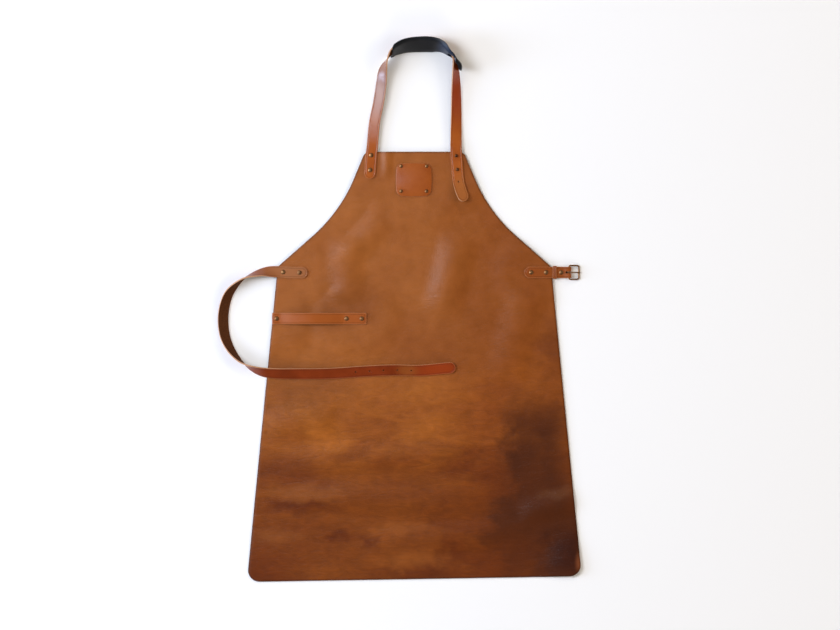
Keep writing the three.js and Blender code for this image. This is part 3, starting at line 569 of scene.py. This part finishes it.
def punch_holes(piece, course, distances):
    """Punches round holes through a strap and bakes its modifiers into its mesh."""
    bm = bmesh.new()
    for distance in distances:
        lie = course.lie(distance)
        made = bmesh.ops.create_cone(bm, cap_ends=True, segments=HOLE_SIDES, radius1=HOLE_RADIUS,
                                     radius2=HOLE_RADIUS, depth=4 * STRAP_THICK)
        turn = lie.normal.to_track_quat("Z", "Y").to_matrix().to_4x4()
        bmesh.ops.transform(bm, matrix=Matrix.Translation(lie.middle) @ turn, verts=made["verts"])
    punch = settle("punch", bm, [])
    cut = piece.modifiers.new("holes", "BOOLEAN")
    cut.object = punch
    cut.solver = "EXACT"
    piece.modifiers.move(len(piece.modifiers) - 1, 1)
    bake(piece)
    bpy.data.objects.remove(punch)


def bake(piece):
    """Applies a piece's modifiers to its mesh."""
    graph = bpy.context.evaluated_depsgraph_get()
    baked = bpy.data.meshes.new_from_object(piece.evaluated_get(graph), depsgraph=graph)
    piece.modifiers.clear()
    piece.data = baked


def strap_leather(name, light, dark, shine=0.3, satin=(0.3, 0.38), tone_spots=()):
    """Smooth strap leather: even brown with its listed spots of wear, painted shade and painted sheen, a dark
    creased line 2.6 mm inside the edge, and a fine grain.
    """
    material, tree, shader = new_material(name)
    place = add_node(tree, "TexCoord", {}).outputs["Object"]
    edge = add_node(tree, "Attribute", {}, attribute_name="edge").outputs["Fac"]
    tones = add_node(tree, "TexNoise", {"Vector": place, "Scale": 1 / 0.03, "Detail": 4}).outputs[0]
    tone_share = add_node(tree, "MapRange", {0: tones, 1: 0.32, 2: 0.68}).outputs[0]
    face = add_node(tree, "Mix", {0: tone_share, 6: linear(dark), 7: linear(light)},
                    data_type="RGBA").outputs[2]
    past_crease = add_node(tree, "Math", {0: edge, 1: 0.0026}, operation="SUBTRACT").outputs[0]
    off_crease = add_node(tree, "Math", {0: past_crease}, operation="ABSOLUTE").outputs[0]
    crease = add_node(tree, "MapRange", {0: off_crease, 1: 0.0, 2: 0.001, 3: 1.0, 4: 0.0}, **EASED).outputs[0]
    crease_share = add_node(tree, "Math", {0: crease, 1: 0.35}, operation="MULTIPLY").outputs[0]
    rub = add_node(tree, "MapRange", {0: edge, 1: 0.0, 2: 0.0014, 3: 0.5, 4: 0.0}).outputs[0]
    marks = [(spot_share(tree, place, s.middle, s.reach, 0.2, s.share), s.colour) for s in tone_spots]
    for share, colour in (*marks, (crease_share, "#3d1a0b"), (rub, "#b87a50")):
        face = add_node(tree, "Mix", {0: share, 6: face, 7: linear(colour)}, data_type="RGBA").outputs[2]
    tree.links.new(face, shader.inputs["Base Color"])
    shader.inputs["Specular IOR Level"].default_value = shine
    gloss = add_node(tree, "MapRange", {0: tones, 1: 0.3, 2: 0.7, 3: satin[0], 4: satin[1]}).outputs[0]
    tree.links.new(gloss, shader.inputs["Roughness"])
    pores = add_node(tree, "TexVoronoi", {"Vector": place, "Scale": 1 / 0.0014}).outputs[0]
    pressed = add_node(tree, "Bump", {"Height": crease, "Distance": 0.0004, "Strength": 0.6},
                       invert=True).outputs[0]
    grain = add_node(tree, "Bump", {"Height": pores, "Distance": 0.0002, "Strength": 0.35,
                                    "Normal": pressed}).outputs[0]
    tree.links.new(grain, shader.inputs["Normal"])
    return material


# Cut edge of the straps: pale raw leather that catches the light.
raw_edge, tree, shader = new_material("raw_cut_edge")
place = add_node(tree, "TexCoord", {}).outputs["Object"]
layers = add_node(tree, "TexNoise", {"Vector": place, "Scale": 1 / 0.003, "Detail": 4}).outputs[0]
raw_tone = add_node(tree, "Mix", {0: layers, 6: linear("#b07a52"), 7: linear("#d0a27c")}, data_type="RGBA")
tree.links.new(raw_tone.outputs[2], shader.inputs["Base Color"])
shader.inputs["Roughness"].default_value = 0.6

# Painted light on the neck strap: a darker left run with a grey-pink painted sheen near its top, a darker and
# redder right run, and a paler painted sheen on the tail.
NECK_PAINTED_LIGHT = [
    ToneSpot((-0.066, 0.53), (0.05, 0.13), "#80401a", 0.8),
    ToneSpot((-0.059, 0.54), (0.034, 0.06), "#9c7c6e", 0.6),
    ToneSpot((0.08, 0.52), (0.05, 0.1), "#96370a", 0.9),
    ToneSpot((0.09, 0.325), (0.03, 0.05), "#ad6a36", 0.7),
]
neck_leather = strap_leather("polished_neck_leather", "#aa581e", "#9b4c19", 0.4, (0.21, 0.27), NECK_PAINTED_LIGHT)
neck_course = Course(NECK_STATIONS)
neck_strap = settle("neck_strap_leather", strap_sheet(neck_course, True, True),
                    [neck_leather, flesh_side, raw_edge])
give_thickness(neck_strap, STRAP_THICK, 0, STRAP_BEVEL)
punch_holes(neck_strap, neck_course, [neck_course.length - NECK_SPARE_HOLE])
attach(neck_strap, "apron")
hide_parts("neck_strap")


# Neck pad
# A black padded strip of soft leather over thin foam, wider than the strap, on the neck's side of it.
# The strap goes through a slot near the right end, so that the last bit hooks round its outer side.
PAD_THICK = 4.4
HOOK_THICK = 6
MARGIN_SHARE = 0.72
NARROW_SHARE = 0.7
PAD_BEVEL = 0.7
PAD_STEP = 3
THINNEST = 0.3
SLOT_HALF = STRAP_WIDTH / 2 + 1
SLOT_INNER_COLUMNS = 6
SLOT_MARGIN_COLUMNS = 4

PadRow = namedtuple("PadRow", "along side shift width turn thick wrap skew")
PAD_ROWS = [
    PadRow(241, -4, -1.5, 28, 0, 3.4, 2, 7),
    PadRow(242, -4, -1.5, 34, 0, 3.6, 2.5, 9),
    PadRow(244, -4.2, -1.5, 36, 0, PAD_THICK, 3, 9.5),
    PadRow(254, -4.4, -0.6, 37, 0, PAD_THICK, 3, 8),
    PadRow(299, -4.4, 1, 37.5, 0, PAD_THICK, 0, 0),
    PadRow(324, -4.4, 1, 37.5, -2, PAD_THICK, 1.5, 0),
    PadRow(346, -4.4, -0.5, 37.2, -3, 4, 4, 0),
    PadRow(361, -3.8, -0.5, 35, -4, 3.4, 4, 0),
    PadRow(372, 1.5, 0, 34, -12, 4, 0, 0),
    PadRow(381, 6.8, 0, 33, -12, PAD_THICK, -5, 0),
    PadRow(386, 10, 0.4, 31, -20, 5, -5.5, 0),
    PadRow(391, 10.6, 1.6, 29, -26, 5.4, -5, 0),
    PadRow(394.5, 9.6, 2.4, 25, -28, 5.4, -3, 0),
    PadRow(396.5, 9, 2.6, 16, -28, 5, -1, 0),
]
PAD_SLOTS = [(361, 380)]

# Black pad leather: nearly black with a painted blue reflection where the right end is bent, a fine pebbled
# grain drawn 1.6 mm wide, and a soft gloss.
pad_leather, tree, shader = new_material("black_pad_leather")
place = add_node(tree, "TexCoord", {}).outputs["Object"]
tones = add_node(tree, "TexNoise", {"Vector": place, "Scale": 1 / 0.02, "Detail": 4}).outputs[0]
black = add_node(tree, "Mix", {0: tones, 6: linear("#101011"), 7: linear("#1b1b1d")}, data_type="RGBA")
blue_reflection_share = spot_share(tree, place, (0.061, 0.588), (0.026, 0.03), 0.3, 0.8)
bluish = add_node(tree, "Mix", {0: blue_reflection_share, 6: black.outputs[2], 7: linear("#16233a")}, data_type="RGBA")
tree.links.new(bluish.outputs[2], shader.inputs["Base Color"])
shader.inputs["Specular IOR Level"].default_value = 0.35
gloss = add_node(tree, "MapRange", {0: tones, 1: 0.3, 2: 0.7, 3: 0.38, 4: 0.5}).outputs[0]
tree.links.new(gloss, shader.inputs["Roughness"])
pebbles = add_node(tree, "TexVoronoi", {"Vector": place, "Scale": 1 / 0.0016},
                   feature="SMOOTH_F1").outputs[0]
grain = add_node(tree, "Bump", {"Height": pebbles, "Distance": 0.0002, "Strength": 0.5}).outputs[0]
tree.links.new(grain, shader.inputs["Normal"])

steps = math.ceil((PAD_ROWS[-1].along - PAD_ROWS[0].along) / PAD_STEP)
marks = sorted({row.along for row in PAD_ROWS} | {end for slot in PAD_SLOTS for end in slot}
               | {PAD_ROWS[0].along + k * PAD_STEP for k in range(2, steps - 1)})
columns = 2 * SLOT_MARGIN_COLUMNS + SLOT_INNER_COLUMNS


def pad_row(along):
    """The pad's row at a distance along the strap, eased between the rows of the table."""
    for row, following in zip(PAD_ROWS, PAD_ROWS[1:]):
        if along <= following.along:
            share = (along - row.along) / (following.along - row.along)
            return PadRow(*[a + (b - a) * share for a, b in zip(row, following)])


bm = bmesh.new()
bmesh.ops.create_grid(bm, x_segments=len(marks) - 1, y_segments=columns, size=0.5)
bm.verts.layers.deform.verify()
slot_verts = set()
fills = []
for vert in bm.verts:
    row = pad_row(marks[round((vert.co.x + 0.5) * (len(marks) - 1))])
    column = round((vert.co.y + 0.5) * columns) - columns / 2
    half = row.width / 2
    inner = min(SLOT_HALF, NARROW_SHARE * half)
    share = abs(column) / (SLOT_INNER_COLUMNS / 2)
    if share <= 1:
        out = inner * share
    else:
        out = inner + (half - inner) * (abs(column) - SLOT_INNER_COLUMNS / 2) / SLOT_MARGIN_COLUMNS
    if share < 1 and any(start < row.along < end for start, end in PAD_SLOTS):
        slot_verts.add(vert)
    lie = neck_course.lie(row.along - row.skew * math.copysign(out, column) / half)
    turn = Matrix.Rotation(math.radians(row.turn), 3, lie.heading)
    fullness = MARGIN_SHARE + (1 - MARGIN_SHARE) * math.sqrt(max(1 - (out / half) ** 4, 0))
    fills.append((row.thick / HOOK_THICK * fullness - THINNEST) / (1 - THINNEST))
    past_strap = max(out - SLOT_HALF, 0) / max(half - SLOT_HALF, 1)
    vert.co = (lie.middle + lie.normal * (row.side + row.wrap * past_strap ** 2) + lie.across * row.shift
               + turn @ lie.across * math.copysign(out, column))
fill_layer = bm.verts.layers.deform.active
for vert, fill in zip(bm.verts, fills):
    vert[fill_layer][0] = fill
bmesh.ops.delete(bm, geom=[f for f in bm.faces if any(v in slot_verts for v in f.verts)], context="FACES")
neck_pad = settle("neck_pad_leather", bm, [pad_leather])
neck_pad.vertex_groups.new(name="fill")
wall = neck_pad.modifiers.new("foam", "SOLIDIFY")
wall.thickness = HOOK_THICK * MM
wall.offset = 0
wall.vertex_group = "fill"
wall.thickness_vertex_group = THINNEST
ease_edges(neck_pad, PAD_BEVEL)
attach(neck_pad, "apron")
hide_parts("neck_pad")


# Badge patch
# A bare square of strap leather with rounded corners and slightly bowed sides, with one tooled line
# inside its edge. Four small rivets hold it to the bib.
PATCH_WIDTH = 63
PATCH_HEIGHT = 58.5
PATCH_BOW = 2
PATCH_CORNER = 9
PATCH_THICK = 1.8
PATCH_BEVEL = 0.5
PATCH_CUTS = 14
PATCH_MIDDLE = (-1, 347)
TOOLED_LINE = (1.8, 0.8, 0.35)

# A paler towel loop, and painted shade on the buckle tab at the right hip.
TAN_TONE_AND_SHADE = [
    ToneSpot((-0.178, 0.0877), (0.14, 0.04), "#9f521e", 0.8),
    ToneSpot((0.25, 0.174), (0.08, 0.05), "#8d4718", 0.9),
]
tan_strap = strap_leather("tan_strap_leather", "#a1531d", "#944819", tone_spots=TAN_TONE_AND_SHADE)
bm = bmesh.new()
bmesh.ops.create_grid(bm, x_segments=1, y_segments=1, size=0.5)
bmesh.ops.scale(bm, vec=(PATCH_WIDTH, PATCH_HEIGHT, 1), verts=bm.verts)
bmesh.ops.bevel(bm, geom=bm.verts[:], affect="VERTICES", offset=PATCH_CORNER, segments=8, profile=0.5,
                material=-1)
sides = [e for e in bm.edges if e.calc_length() > PATCH_WIDTH / 2]
bmesh.ops.subdivide_edges(bm, edges=sides, cuts=PATCH_CUTS)
for vert in bm.verts:
    x, y = vert.co.x, vert.co.y
    vert.co.x *= 1 + 2 * PATCH_BOW / PATCH_WIDTH * (1 - (2 * y / PATCH_HEIGHT) ** 2)
    vert.co.y *= 1 + 2 * PATCH_BOW / PATCH_HEIGHT * (1 - (2 * x / PATCH_WIDTH) ** 2)
edge_layer = bm.verts.layers.float.new("edge")
face = bm.faces[:][0]
margin, groove, depth = TOOLED_LINE
inside = 0
for inset, drop in ((margin, 0), (groove, -depth), (groove, depth), (margin, 0)):
    bmesh.ops.inset_region(bm, faces=[face], thickness=inset, depth=drop, use_even_offset=True)
    inside += inset
    for vert in face.verts:
        vert[edge_layer] = inside * MM
bmesh.ops.translate(bm, vec=(*PATCH_MIDDLE, ON_HIDE + PATCH_THICK), verts=bm.verts)
patch = settle("badge_patch_leather", bm, [tan_strap, flesh_side, raw_edge])
give_thickness(patch, PATCH_THICK, -1, PATCH_BEVEL)
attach(patch, "apron")
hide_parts("badge_patch")


# Waist strap
# A strap like the neck's, riveted at the left hip. It stands on its edge through a wide bend beside the
# hide, flesh side inwards, and its free end with five punched holes lies over the front.
WAIST_STATIONS = [
    Station(-199.8, 173.4, 0, ON_HIDE),
    Station(-214.8, 173.6, 0, ON_HIDE),
    Station(-245, 174.6, 0, ON_HIDE),
    Station(-262, 175.4, 10, 3.6),
    Station(-281, 174.8, 45, 0.8),
    Station(-297, 171, 66, 0.3),
    Station(-316, 164, 90, 0.3),
    Station(-332, 152, 112, 0.3),
    Station(-347, 133.6, 136, 0.3),
    Station(-355, 110, 150, 0.3),
    Station(-357.5, 83, 155, 0.3),
    Station(-354, 55, 148, 0.3),
    Station(-343.7, 31, 130, 0.3),
    Station(-328.5, 11.5, 108, 0.3),
    Station(-316, 1.5, 88, 0.8),
    Station(-301, -6.5, 64, 1.8),
    Station(-282, -12.5, 42, 2.3),
    Station(-258, -15, 30, 2.3),
    Station(-220, -15.6, 22, 2.3),
    Station(-157.7, -15, 18, 2.3),
    Station(-96, -11, 17, 2.3),
    Station(-41.9, -8.6, 16, 2.3),
    Station(8.6, -9.4, 14, 2.3),
    Station(56, -5.2, 10, 2.3),
    Station(76.8, -3.7, 8, 2.3),
]
WAIST_FIRST_HOLE = 83
WAIST_HOLE_SPACING = 26
WAIST_HOLES = 5
# A paler worn spot at the front, a slightly paler tip, and a paler painted sheen on the end at the left hip.
WAIST_WEAR_AND_SHEEN = [
    ToneSpot((-0.012, -0.0085), (0.03, 0.02), "#9a5722", 0.5),
    ToneSpot((-0.235, 0.174), (0.085, 0.035), "#a2683e", 0.85),
    ToneSpot((0.045, -0.006), (0.06, 0.03), "#95390f", 0.9),
]

russet_strap = strap_leather("russet_strap_leather", "#84330d", "#742b08", tone_spots=WAIST_WEAR_AND_SHEEN)
waist_course = Course(WAIST_STATIONS)
waist_strap = settle("waist_strap_leather", strap_sheet(waist_course, True, True),
                     [russet_strap, flesh_side, raw_edge])
give_thickness(waist_strap, STRAP_THICK, 0, STRAP_BEVEL)
waist_punches = [WAIST_FIRST_HOLE + k * WAIST_HOLE_SPACING for k in range(WAIST_HOLES)]
punch_holes(waist_strap, waist_course, [waist_course.length - d for d in waist_punches])
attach(waist_strap, "apron")
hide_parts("waist_strap")


# Towel loop
# A straight length of the same strap with square ends, one rivet at the left and two at the right.
# It is a little longer than the space between them, so it arches up and a towel goes through.
LOOP_Y = 87.7
LOOP_STATIONS = [
    Station(-266, LOOP_Y, 0, ON_HIDE),
    Station(-257.4, LOOP_Y, 0, ON_HIDE),
    Station(-249, LOOP_Y, 0, 4.7),
    Station(-224, LOOP_Y, 0, 9.4),
    Station(-192, LOOP_Y, 0, 12),
    Station(-160, LOOP_Y, 0, 9.4),
    Station(-135.5, LOOP_Y, 0, 4.7),
    Station(-126.9, LOOP_Y, 0, ON_HIDE),
    Station(-98.3, LOOP_Y, 0, ON_HIDE),
    Station(-89.5, LOOP_Y, 0, ON_HIDE),
]
loop_course = Course(LOOP_STATIONS)
towel_loop = settle("towel_loop_leather", strap_sheet(loop_course, False, False),
                    [tan_strap, flesh_side, raw_edge])
give_thickness(towel_loop, STRAP_THICK, 0, STRAP_BEVEL)
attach(towel_loop, "apron")
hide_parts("towel_loop")


# Buckle tab and keeper
# A short strap riveted at the right hip, folded round the buckle's bar and back under itself, with a slot
# for the prong. A narrow band of the same leather is looped round it to hold the strap's end.
BAR = Vector((289, 174, 4.4))
WIRE = 1.45
TAB_START = 205.8
TAB_PINCH = 279
TAB_END = 268.6
TAB_FRONT = ON_HIDE + STRAP_THICK / 2
TAB_BACK = HIDE_TOP - STRAP_THICK / 2
TAB_TAIL = 5
TAB_STEPS = 20
TAB_SWELL = 0.55
SWELL_NEAR = 0.2
SWELL_FAR = 0.25
BAR_PLAY = 0.4
FOLD_RADIUS = WIRE + BAR_PLAY + STRAP_THICK / 2
FOLD_STEPS = 14
SLOT_BACK = 6.4
SLOT_UNDER = 4
SLOT_WIDTH = 3.6
TOUCHING = 0.01
TAB_COLUMNS = [-1, -0.74, -0.48, -SLOT_WIDTH / STRAP_WIDTH, 0, SLOT_WIDTH / STRAP_WIDTH, 0.48, 0.74, 1]

half = STRAP_WIDTH / 2
slot_end = BAR.x - SLOT_BACK
under_end = BAR.x - SLOT_UNDER
fold = [math.pi / 2 - math.pi * k / FOLD_STEPS for k in range(FOLD_STEPS + 1)]
turned = [Vector((BAR.x + FOLD_RADIUS * math.cos(a), 0, BAR.z + FOLD_RADIUS * math.sin(a))) for a in fold]
front_rise = TAB_FRONT + TAB_SWELL * (turned[0].z - TAB_FRONT)
back_rise = TAB_BACK + TAB_SWELL * (turned[-1].z - TAB_BACK)
flat_run = [TAB_START + half * (1 - math.cos(math.radians(t))) for t in TIP_TURNS]
straight_run = TAB_PINCH - TAB_START - half
flat_run += [TAB_START + half + straight_run * k / TAB_STEPS for k in range(TAB_STEPS + 1)]
tab_line = [Vector((x, 0, TAB_FRONT)) for x in flat_run]
tab_line += [Vector((slot_end, 0, front_rise - SWELL_FAR)), Vector((under_end, 0, front_rise + SWELL_NEAR))]
tab_line += turned
tab_line += [Vector((under_end, 0, back_rise - SWELL_NEAR)), Vector((slot_end, 0, back_rise + SWELL_FAR))]
tab_line += [Vector((x, 0, TAB_BACK)) for x in (TAB_PINCH, TAB_END + TAB_TAIL, TAB_END)]
bm = bmesh.new()
bmesh.ops.create_grid(bm, x_segments=len(tab_line) - 1, y_segments=len(TAB_COLUMNS) - 1, size=0.5)
edge_layer = bm.verts.layers.float.new("edge")
slot_verts = set()
for vert in bm.verts:
    spot = tab_line[round((vert.co.x + 0.5) * (len(tab_line) - 1))]
    share = TAB_COLUMNS[round((vert.co.y + 0.5) * (len(TAB_COLUMNS) - 1))]
    short = max(half - spot.x + TAB_START, 0)
    out = share * math.sqrt(half ** 2 - short ** 2)
    vert[edge_layer] = (half - math.hypot(short, out)) * MM
    past_slot_end = spot.x - (slot_end if spot.z > BAR.z else under_end)
    if share == 0 and past_slot_end > TOUCHING:
        slot_verts.add(vert)
    vert.co = spot + Vector((0, BAR.y + out, 0))
bmesh.ops.delete(bm, geom=[f for f in bm.faces if any(v in slot_verts for v in f.verts)], context="FACES")
tab = settle("buckle_tab_leather", bm, [tan_strap, flesh_side, raw_edge])
give_thickness(tab, STRAP_THICK, 0, STRAP_BEVEL)
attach(tab, "apron")
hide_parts("buckle_tab")

KEEPER_THICK = 1.2
KEEPER_CORNER = 2.2
KEEPER_COLUMNS = 6
KEEPER_BEVEL = 0.35
keeper_low, keeper_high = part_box("strap_keeper")
bm = bmesh.new()
bmesh.ops.create_grid(bm, x_segments=1, y_segments=1, size=0.5)
bmesh.ops.rotate(bm, matrix=Matrix.Rotation(math.radians(90), 3, "Y"), verts=bm.verts)
keeper_size = (keeper_high - keeper_low) / MM
bmesh.ops.scale(bm, vec=(1, keeper_size.y, keeper_size.z), verts=bm.verts)
bmesh.ops.bevel(bm, geom=bm.verts[:], affect="VERTICES", offset=KEEPER_CORNER, segments=5, profile=0.5,
                material=-1)
bmesh.ops.delete(bm, geom=bm.faces[:], context="FACES_ONLY")
edge_layer = bm.verts.layers.float.new("edge")
rim = bm.edges[:]
for k in range(1, KEEPER_COLUMNS + 1):
    band = bmesh.ops.extrude_edge_only(bm, edges=rim)["geom"]
    rim = [e for e in band if isinstance(e, bmesh.types.BMEdge)]
    drawn = [v for v in band if isinstance(v, bmesh.types.BMVert)]
    bmesh.ops.translate(bm, vec=(keeper_size.x / KEEPER_COLUMNS, 0, 0), verts=drawn)
    for vert in drawn:
        vert[edge_layer] = min(k, KEEPER_COLUMNS - k) / KEEPER_COLUMNS * keeper_size.x * MM
bmesh.ops.recalc_face_normals(bm, faces=bm.faces)
keeper_middle = (keeper_low + keeper_high) / (2 * MM)
bmesh.ops.translate(bm, vec=(keeper_low.x / MM, keeper_middle.y, keeper_middle.z), verts=bm.verts)
keeper = settle("strap_keeper_leather", bm, [tan_strap, flesh_side, raw_edge])
give_thickness(keeper, KEEPER_THICK, -1, KEEPER_BEVEL)
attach(keeper, "apron")
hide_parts("strap_keeper")


# Buckle frame and prong
# A frame bent from 2.9 mm brass wire with rounded corners, its heel bar in the fold of the tab, and a
# tapered prong whose eye turns on the same bar. Both are antiqued, and brighter where they are rubbed.
FRAME_REACH = 18.6
FRAME_INSIDE = 23
TOE_CORNER = 4
HEEL_CORNER = 3
FLOOR_CLEAR = 0.1
FRAME_DROOP = math.asin((BAR.z - WIRE - FLOOR_CLEAR) / FRAME_REACH)
WIRE_SIDES = 16
CORNER_STEPS = 8
EYE_INNER = 1.75
EYE_OUTER = 3.1
EYE_WIDTH = 2.8
EYE_STEPS = 28
PIN_CLEAR = 0.3
TOE_TOP = WIRE + PIN_CLEAR

PinRow = namedtuple("PinRow", "x z radius")
PIN_ROWS = [
    PinRow(2.35, 1.2, 1.1),
    PinRow(4, 1.85, 1.12),
    PinRow(6, 2.2, 1.12),
    PinRow(10, 2.7, 1.1),
    PinRow(FRAME_REACH - 3, TOE_TOP + 1.4, 1.08),
    PinRow(FRAME_REACH, TOE_TOP + 1.1, 1.05),
    PinRow(FRAME_REACH + 1.4, TOE_TOP + 0.9, 0.95),
    PinRow(FRAME_REACH + 2, TOE_TOP + 0.8, 0.6),
]


def antique_brass(name, worn, patina):
    """Antiqued brass: dark brown patina in blotches, warmer worn metal between, satin gloss."""
    material, tree, shader = new_material(name)
    place = add_node(tree, "TexCoord", {}).outputs["Object"]
    blotches = add_node(tree, "TexNoise", {"Vector": place, "Scale": 1 / 0.004, "Detail": 4}).outputs[0]
    share = add_node(tree, "MapRange", {0: blotches, 1: 0.38, 2: 0.62}).outputs[0]
    aged = add_node(tree, "Mix", {0: share, 6: linear(patina), 7: linear(worn)}, data_type="RGBA")
    tree.links.new(aged.outputs[2], shader.inputs["Base Color"])
    shader.inputs["Metallic"].default_value = 0.8
    satin = add_node(tree, "MapRange", {0: blotches, 1: 0.3, 2: 0.7, 3: 0.55, 4: 0.42}).outputs[0]
    tree.links.new(satin, shader.inputs["Roughness"])
    pits = add_node(tree, "Bump", {"Height": blotches, "Distance": 0.0002, "Strength": 0.25}).outputs[0]
    tree.links.new(pits, shader.inputs["Normal"])
    return material


brass = antique_brass("antique_brass", "#b08050", "#7c5230")
hinge = Matrix.Translation(BAR) @ Matrix.Rotation(FRAME_DROOP, 4, "Y")

wide = FRAME_INSIDE / 2 + WIRE
bm = bmesh.new()
bmesh.ops.create_circle(bm, segments=WIRE_SIDES, radius=WIRE)
bmesh.ops.rotate(bm, matrix=Matrix.Rotation(math.radians(90), 3, "X"), verts=bm.verts)
bmesh.ops.translate(bm, vec=(0, HEEL_CORNER - wide, 0), verts=bm.verts)
ring = bm.edges[:]
heel_run = 2 * (wide - HEEL_CORNER)
toe_run = 2 * (wide - TOE_CORNER)
side_run = FRAME_REACH - HEEL_CORNER - TOE_CORNER
bends = [
    (Vector((0, heel_run, 0)), Vector((HEEL_CORNER, wide - HEEL_CORNER, 0))),
    (Vector((side_run, 0, 0)), Vector((FRAME_REACH - TOE_CORNER, wide - TOE_CORNER, 0))),
    (Vector((0, -toe_run, 0)), Vector((FRAME_REACH - TOE_CORNER, TOE_CORNER - wide, 0))),
    (Vector((-side_run, 0, 0)), Vector((HEEL_CORNER, HEEL_CORNER - wide, 0))),
]
for straight, pivot in bends:
    drawn = bmesh.ops.extrude_edge_only(bm, edges=ring)["geom"]
    bmesh.ops.translate(bm, vec=straight, verts=[v for v in drawn if isinstance(v, bmesh.types.BMVert)])
    ring = [e for e in drawn if isinstance(e, bmesh.types.BMEdge)]
    bent = bmesh.ops.spin(bm, geom=ring, cent=pivot, axis=(0, 0, 1), angle=-math.pi / 2, steps=CORNER_STEPS)
    ring = [e for e in bent["geom_last"] if isinstance(e, bmesh.types.BMEdge)]
bmesh.ops.remove_doubles(bm, verts=bm.verts, dist=TOUCHING)
bmesh.ops.recalc_face_normals(bm, faces=bm.faces)
bmesh.ops.transform(bm, matrix=hinge, verts=bm.verts)
buckle_frame = settle("buckle_frame_brass", bm, [brass])
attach(buckle_frame, "buckle_frame")
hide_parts("buckle_frame")

bm = bmesh.new()
section = bmesh.ops.create_circle(bm, segments=4, radius=1)["verts"]
ring_corners = [(EYE_INNER, -1), (EYE_OUTER, -1), (EYE_OUTER, 1), (EYE_INNER, 1)]
for vert, (radius, side) in zip(section, ring_corners):
    vert.co = (radius, side * EYE_WIDTH / 2, 0)
bmesh.ops.spin(bm, geom=bm.edges[:], cent=(0, 0, 0), axis=(0, 1, 0), angle=2 * math.pi, steps=EYE_STEPS,
               use_merge=True)
bmesh.ops.recalc_face_normals(bm, faces=bm.faces)
bmesh.ops.transform(bm, matrix=hinge, verts=bm.verts)
prong = settle("buckle_prong_brass", bm, [brass])

bm = bmesh.new()
bmesh.ops.create_circle(bm, segments=WIRE_SIDES, radius=1, cap_ends=True)
bmesh.ops.rotate(bm, matrix=Matrix.Rotation(math.radians(-90), 3, "Y"), verts=bm.verts)
bmesh.ops.scale(bm, vec=(1, PIN_ROWS[0].radius, PIN_ROWS[0].radius), verts=bm.verts)
bmesh.ops.translate(bm, vec=(PIN_ROWS[0].x, 0, PIN_ROWS[0].z), verts=bm.verts)
end = bm.faces[:]
for row, following in zip(PIN_ROWS, PIN_ROWS[1:]):
    drawn = bmesh.ops.extrude_face_region(bm, geom=end)["geom"]
    if row is not PIN_ROWS[0]:
        bmesh.ops.delete(bm, geom=end, context="FACES_ONLY")
    end = [f for f in drawn if isinstance(f, bmesh.types.BMFace)]
    verts = [v for v in drawn if isinstance(v, bmesh.types.BMVert)]
    grow = following.radius / row.radius
    bmesh.ops.scale(bm, vec=(1, grow, grow), verts=verts, space=Matrix.Translation((0, 0, -row.z)))
    bmesh.ops.translate(bm, vec=(following.x - row.x, 0, following.z - row.z), verts=verts)
bmesh.ops.recalc_face_normals(bm, faces=bm.faces)
bmesh.ops.transform(bm, matrix=hinge, verts=bm.verts)
pin = settle("pin", bm, [brass])
joined = prong.modifiers.new("pin", "BOOLEAN")
joined.operation = "UNION"
joined.object = pin
joined.solver = "EXACT"
bake(prong)
bpy.data.objects.remove(pin)
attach(prong, "buckle_prong")
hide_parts("buckle_prong")


# Rivets and studs
# Pressed brass rivets with a low domed cap, a shank through the leather and a flat cap at the back.
# The two studs on the neck strap's tail have a round button with a waist under it, and are darker.
BACK_CAP = 4.4
BACK_THICK = 1.3
BACK_EASE = 0.3
SHANK = 1.5
SHARP_CREASE = 55
CAP_SEAT = 0.3
DOME = 1.7
STUD_HEIGHT = 3.4
CAP_RADIUS = {"patch": 3.2}
LARGE_CAP = 4.1
TURN_STEPS = 36

dark_brass = antique_brass("dark_antique_brass", "#80522f", "#4a2a17")
DOME_PROFILE = [(1, 0), (1.02, 0.14), (0.97, 0.3), (0.86, 0.55), (0.66, 0.8), (0.36, 0.95), (0, 1)]
BUTTON_PROFILE = [(0.72, 0), (0.66, 0.16), (0.78, 0.34), (1, 0.5), (1, 0.66), (0.86, 0.84), (0.5, 0.97),
                  (0, 1)]
BUTTON_RADIUS = 3.1

for name, middle in rivet_places.items():
    low, high = (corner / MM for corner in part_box(name))
    is_stud = "_stud_" in name
    tall = STUD_HEIGHT if is_stud else DOME
    seat = high.z - tall - CAP_SEAT
    radius = BUTTON_RADIUS if is_stud else CAP_RADIUS.get(name.split("_")[0], LARGE_CAP)
    shape = BUTTON_PROFILE if is_stud else DOME_PROFILE
    profile = [(0, low.z), (BACK_CAP - BACK_EASE, low.z), (BACK_CAP, low.z + BACK_EASE),
               (BACK_CAP, low.z + BACK_THICK), (SHANK, low.z + BACK_THICK), (SHANK, seat)]
    profile += [(radius * r, seat + (tall + CAP_SEAT) * h) for r, h in shape]
    bm = bmesh.new()
    line = [bm.verts.new((r, 0, z)) for r, z in profile]
    for here, there in zip(line, line[1:]):
        bm.edges.new((here, there))
    bmesh.ops.spin(bm, geom=bm.verts[:] + bm.edges[:], cent=(0, 0, 0), axis=(0, 0, 1), angle=2 * math.pi,
                   steps=TURN_STEPS, use_merge=True)
    bmesh.ops.remove_doubles(bm, verts=bm.verts, dist=TOUCHING)
    bmesh.ops.recalc_face_normals(bm, faces=bm.faces)
    bmesh.ops.translate(bm, vec=(middle.x, middle.y, 0), verts=bm.verts)
    rivet = settle(name + "_brass", bm, [dark_brass if is_stud else brass])
    rivet.data.set_sharp_from_angle(angle=math.radians(SHARP_CREASE))
    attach(rivet, "apron")
    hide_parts(name)
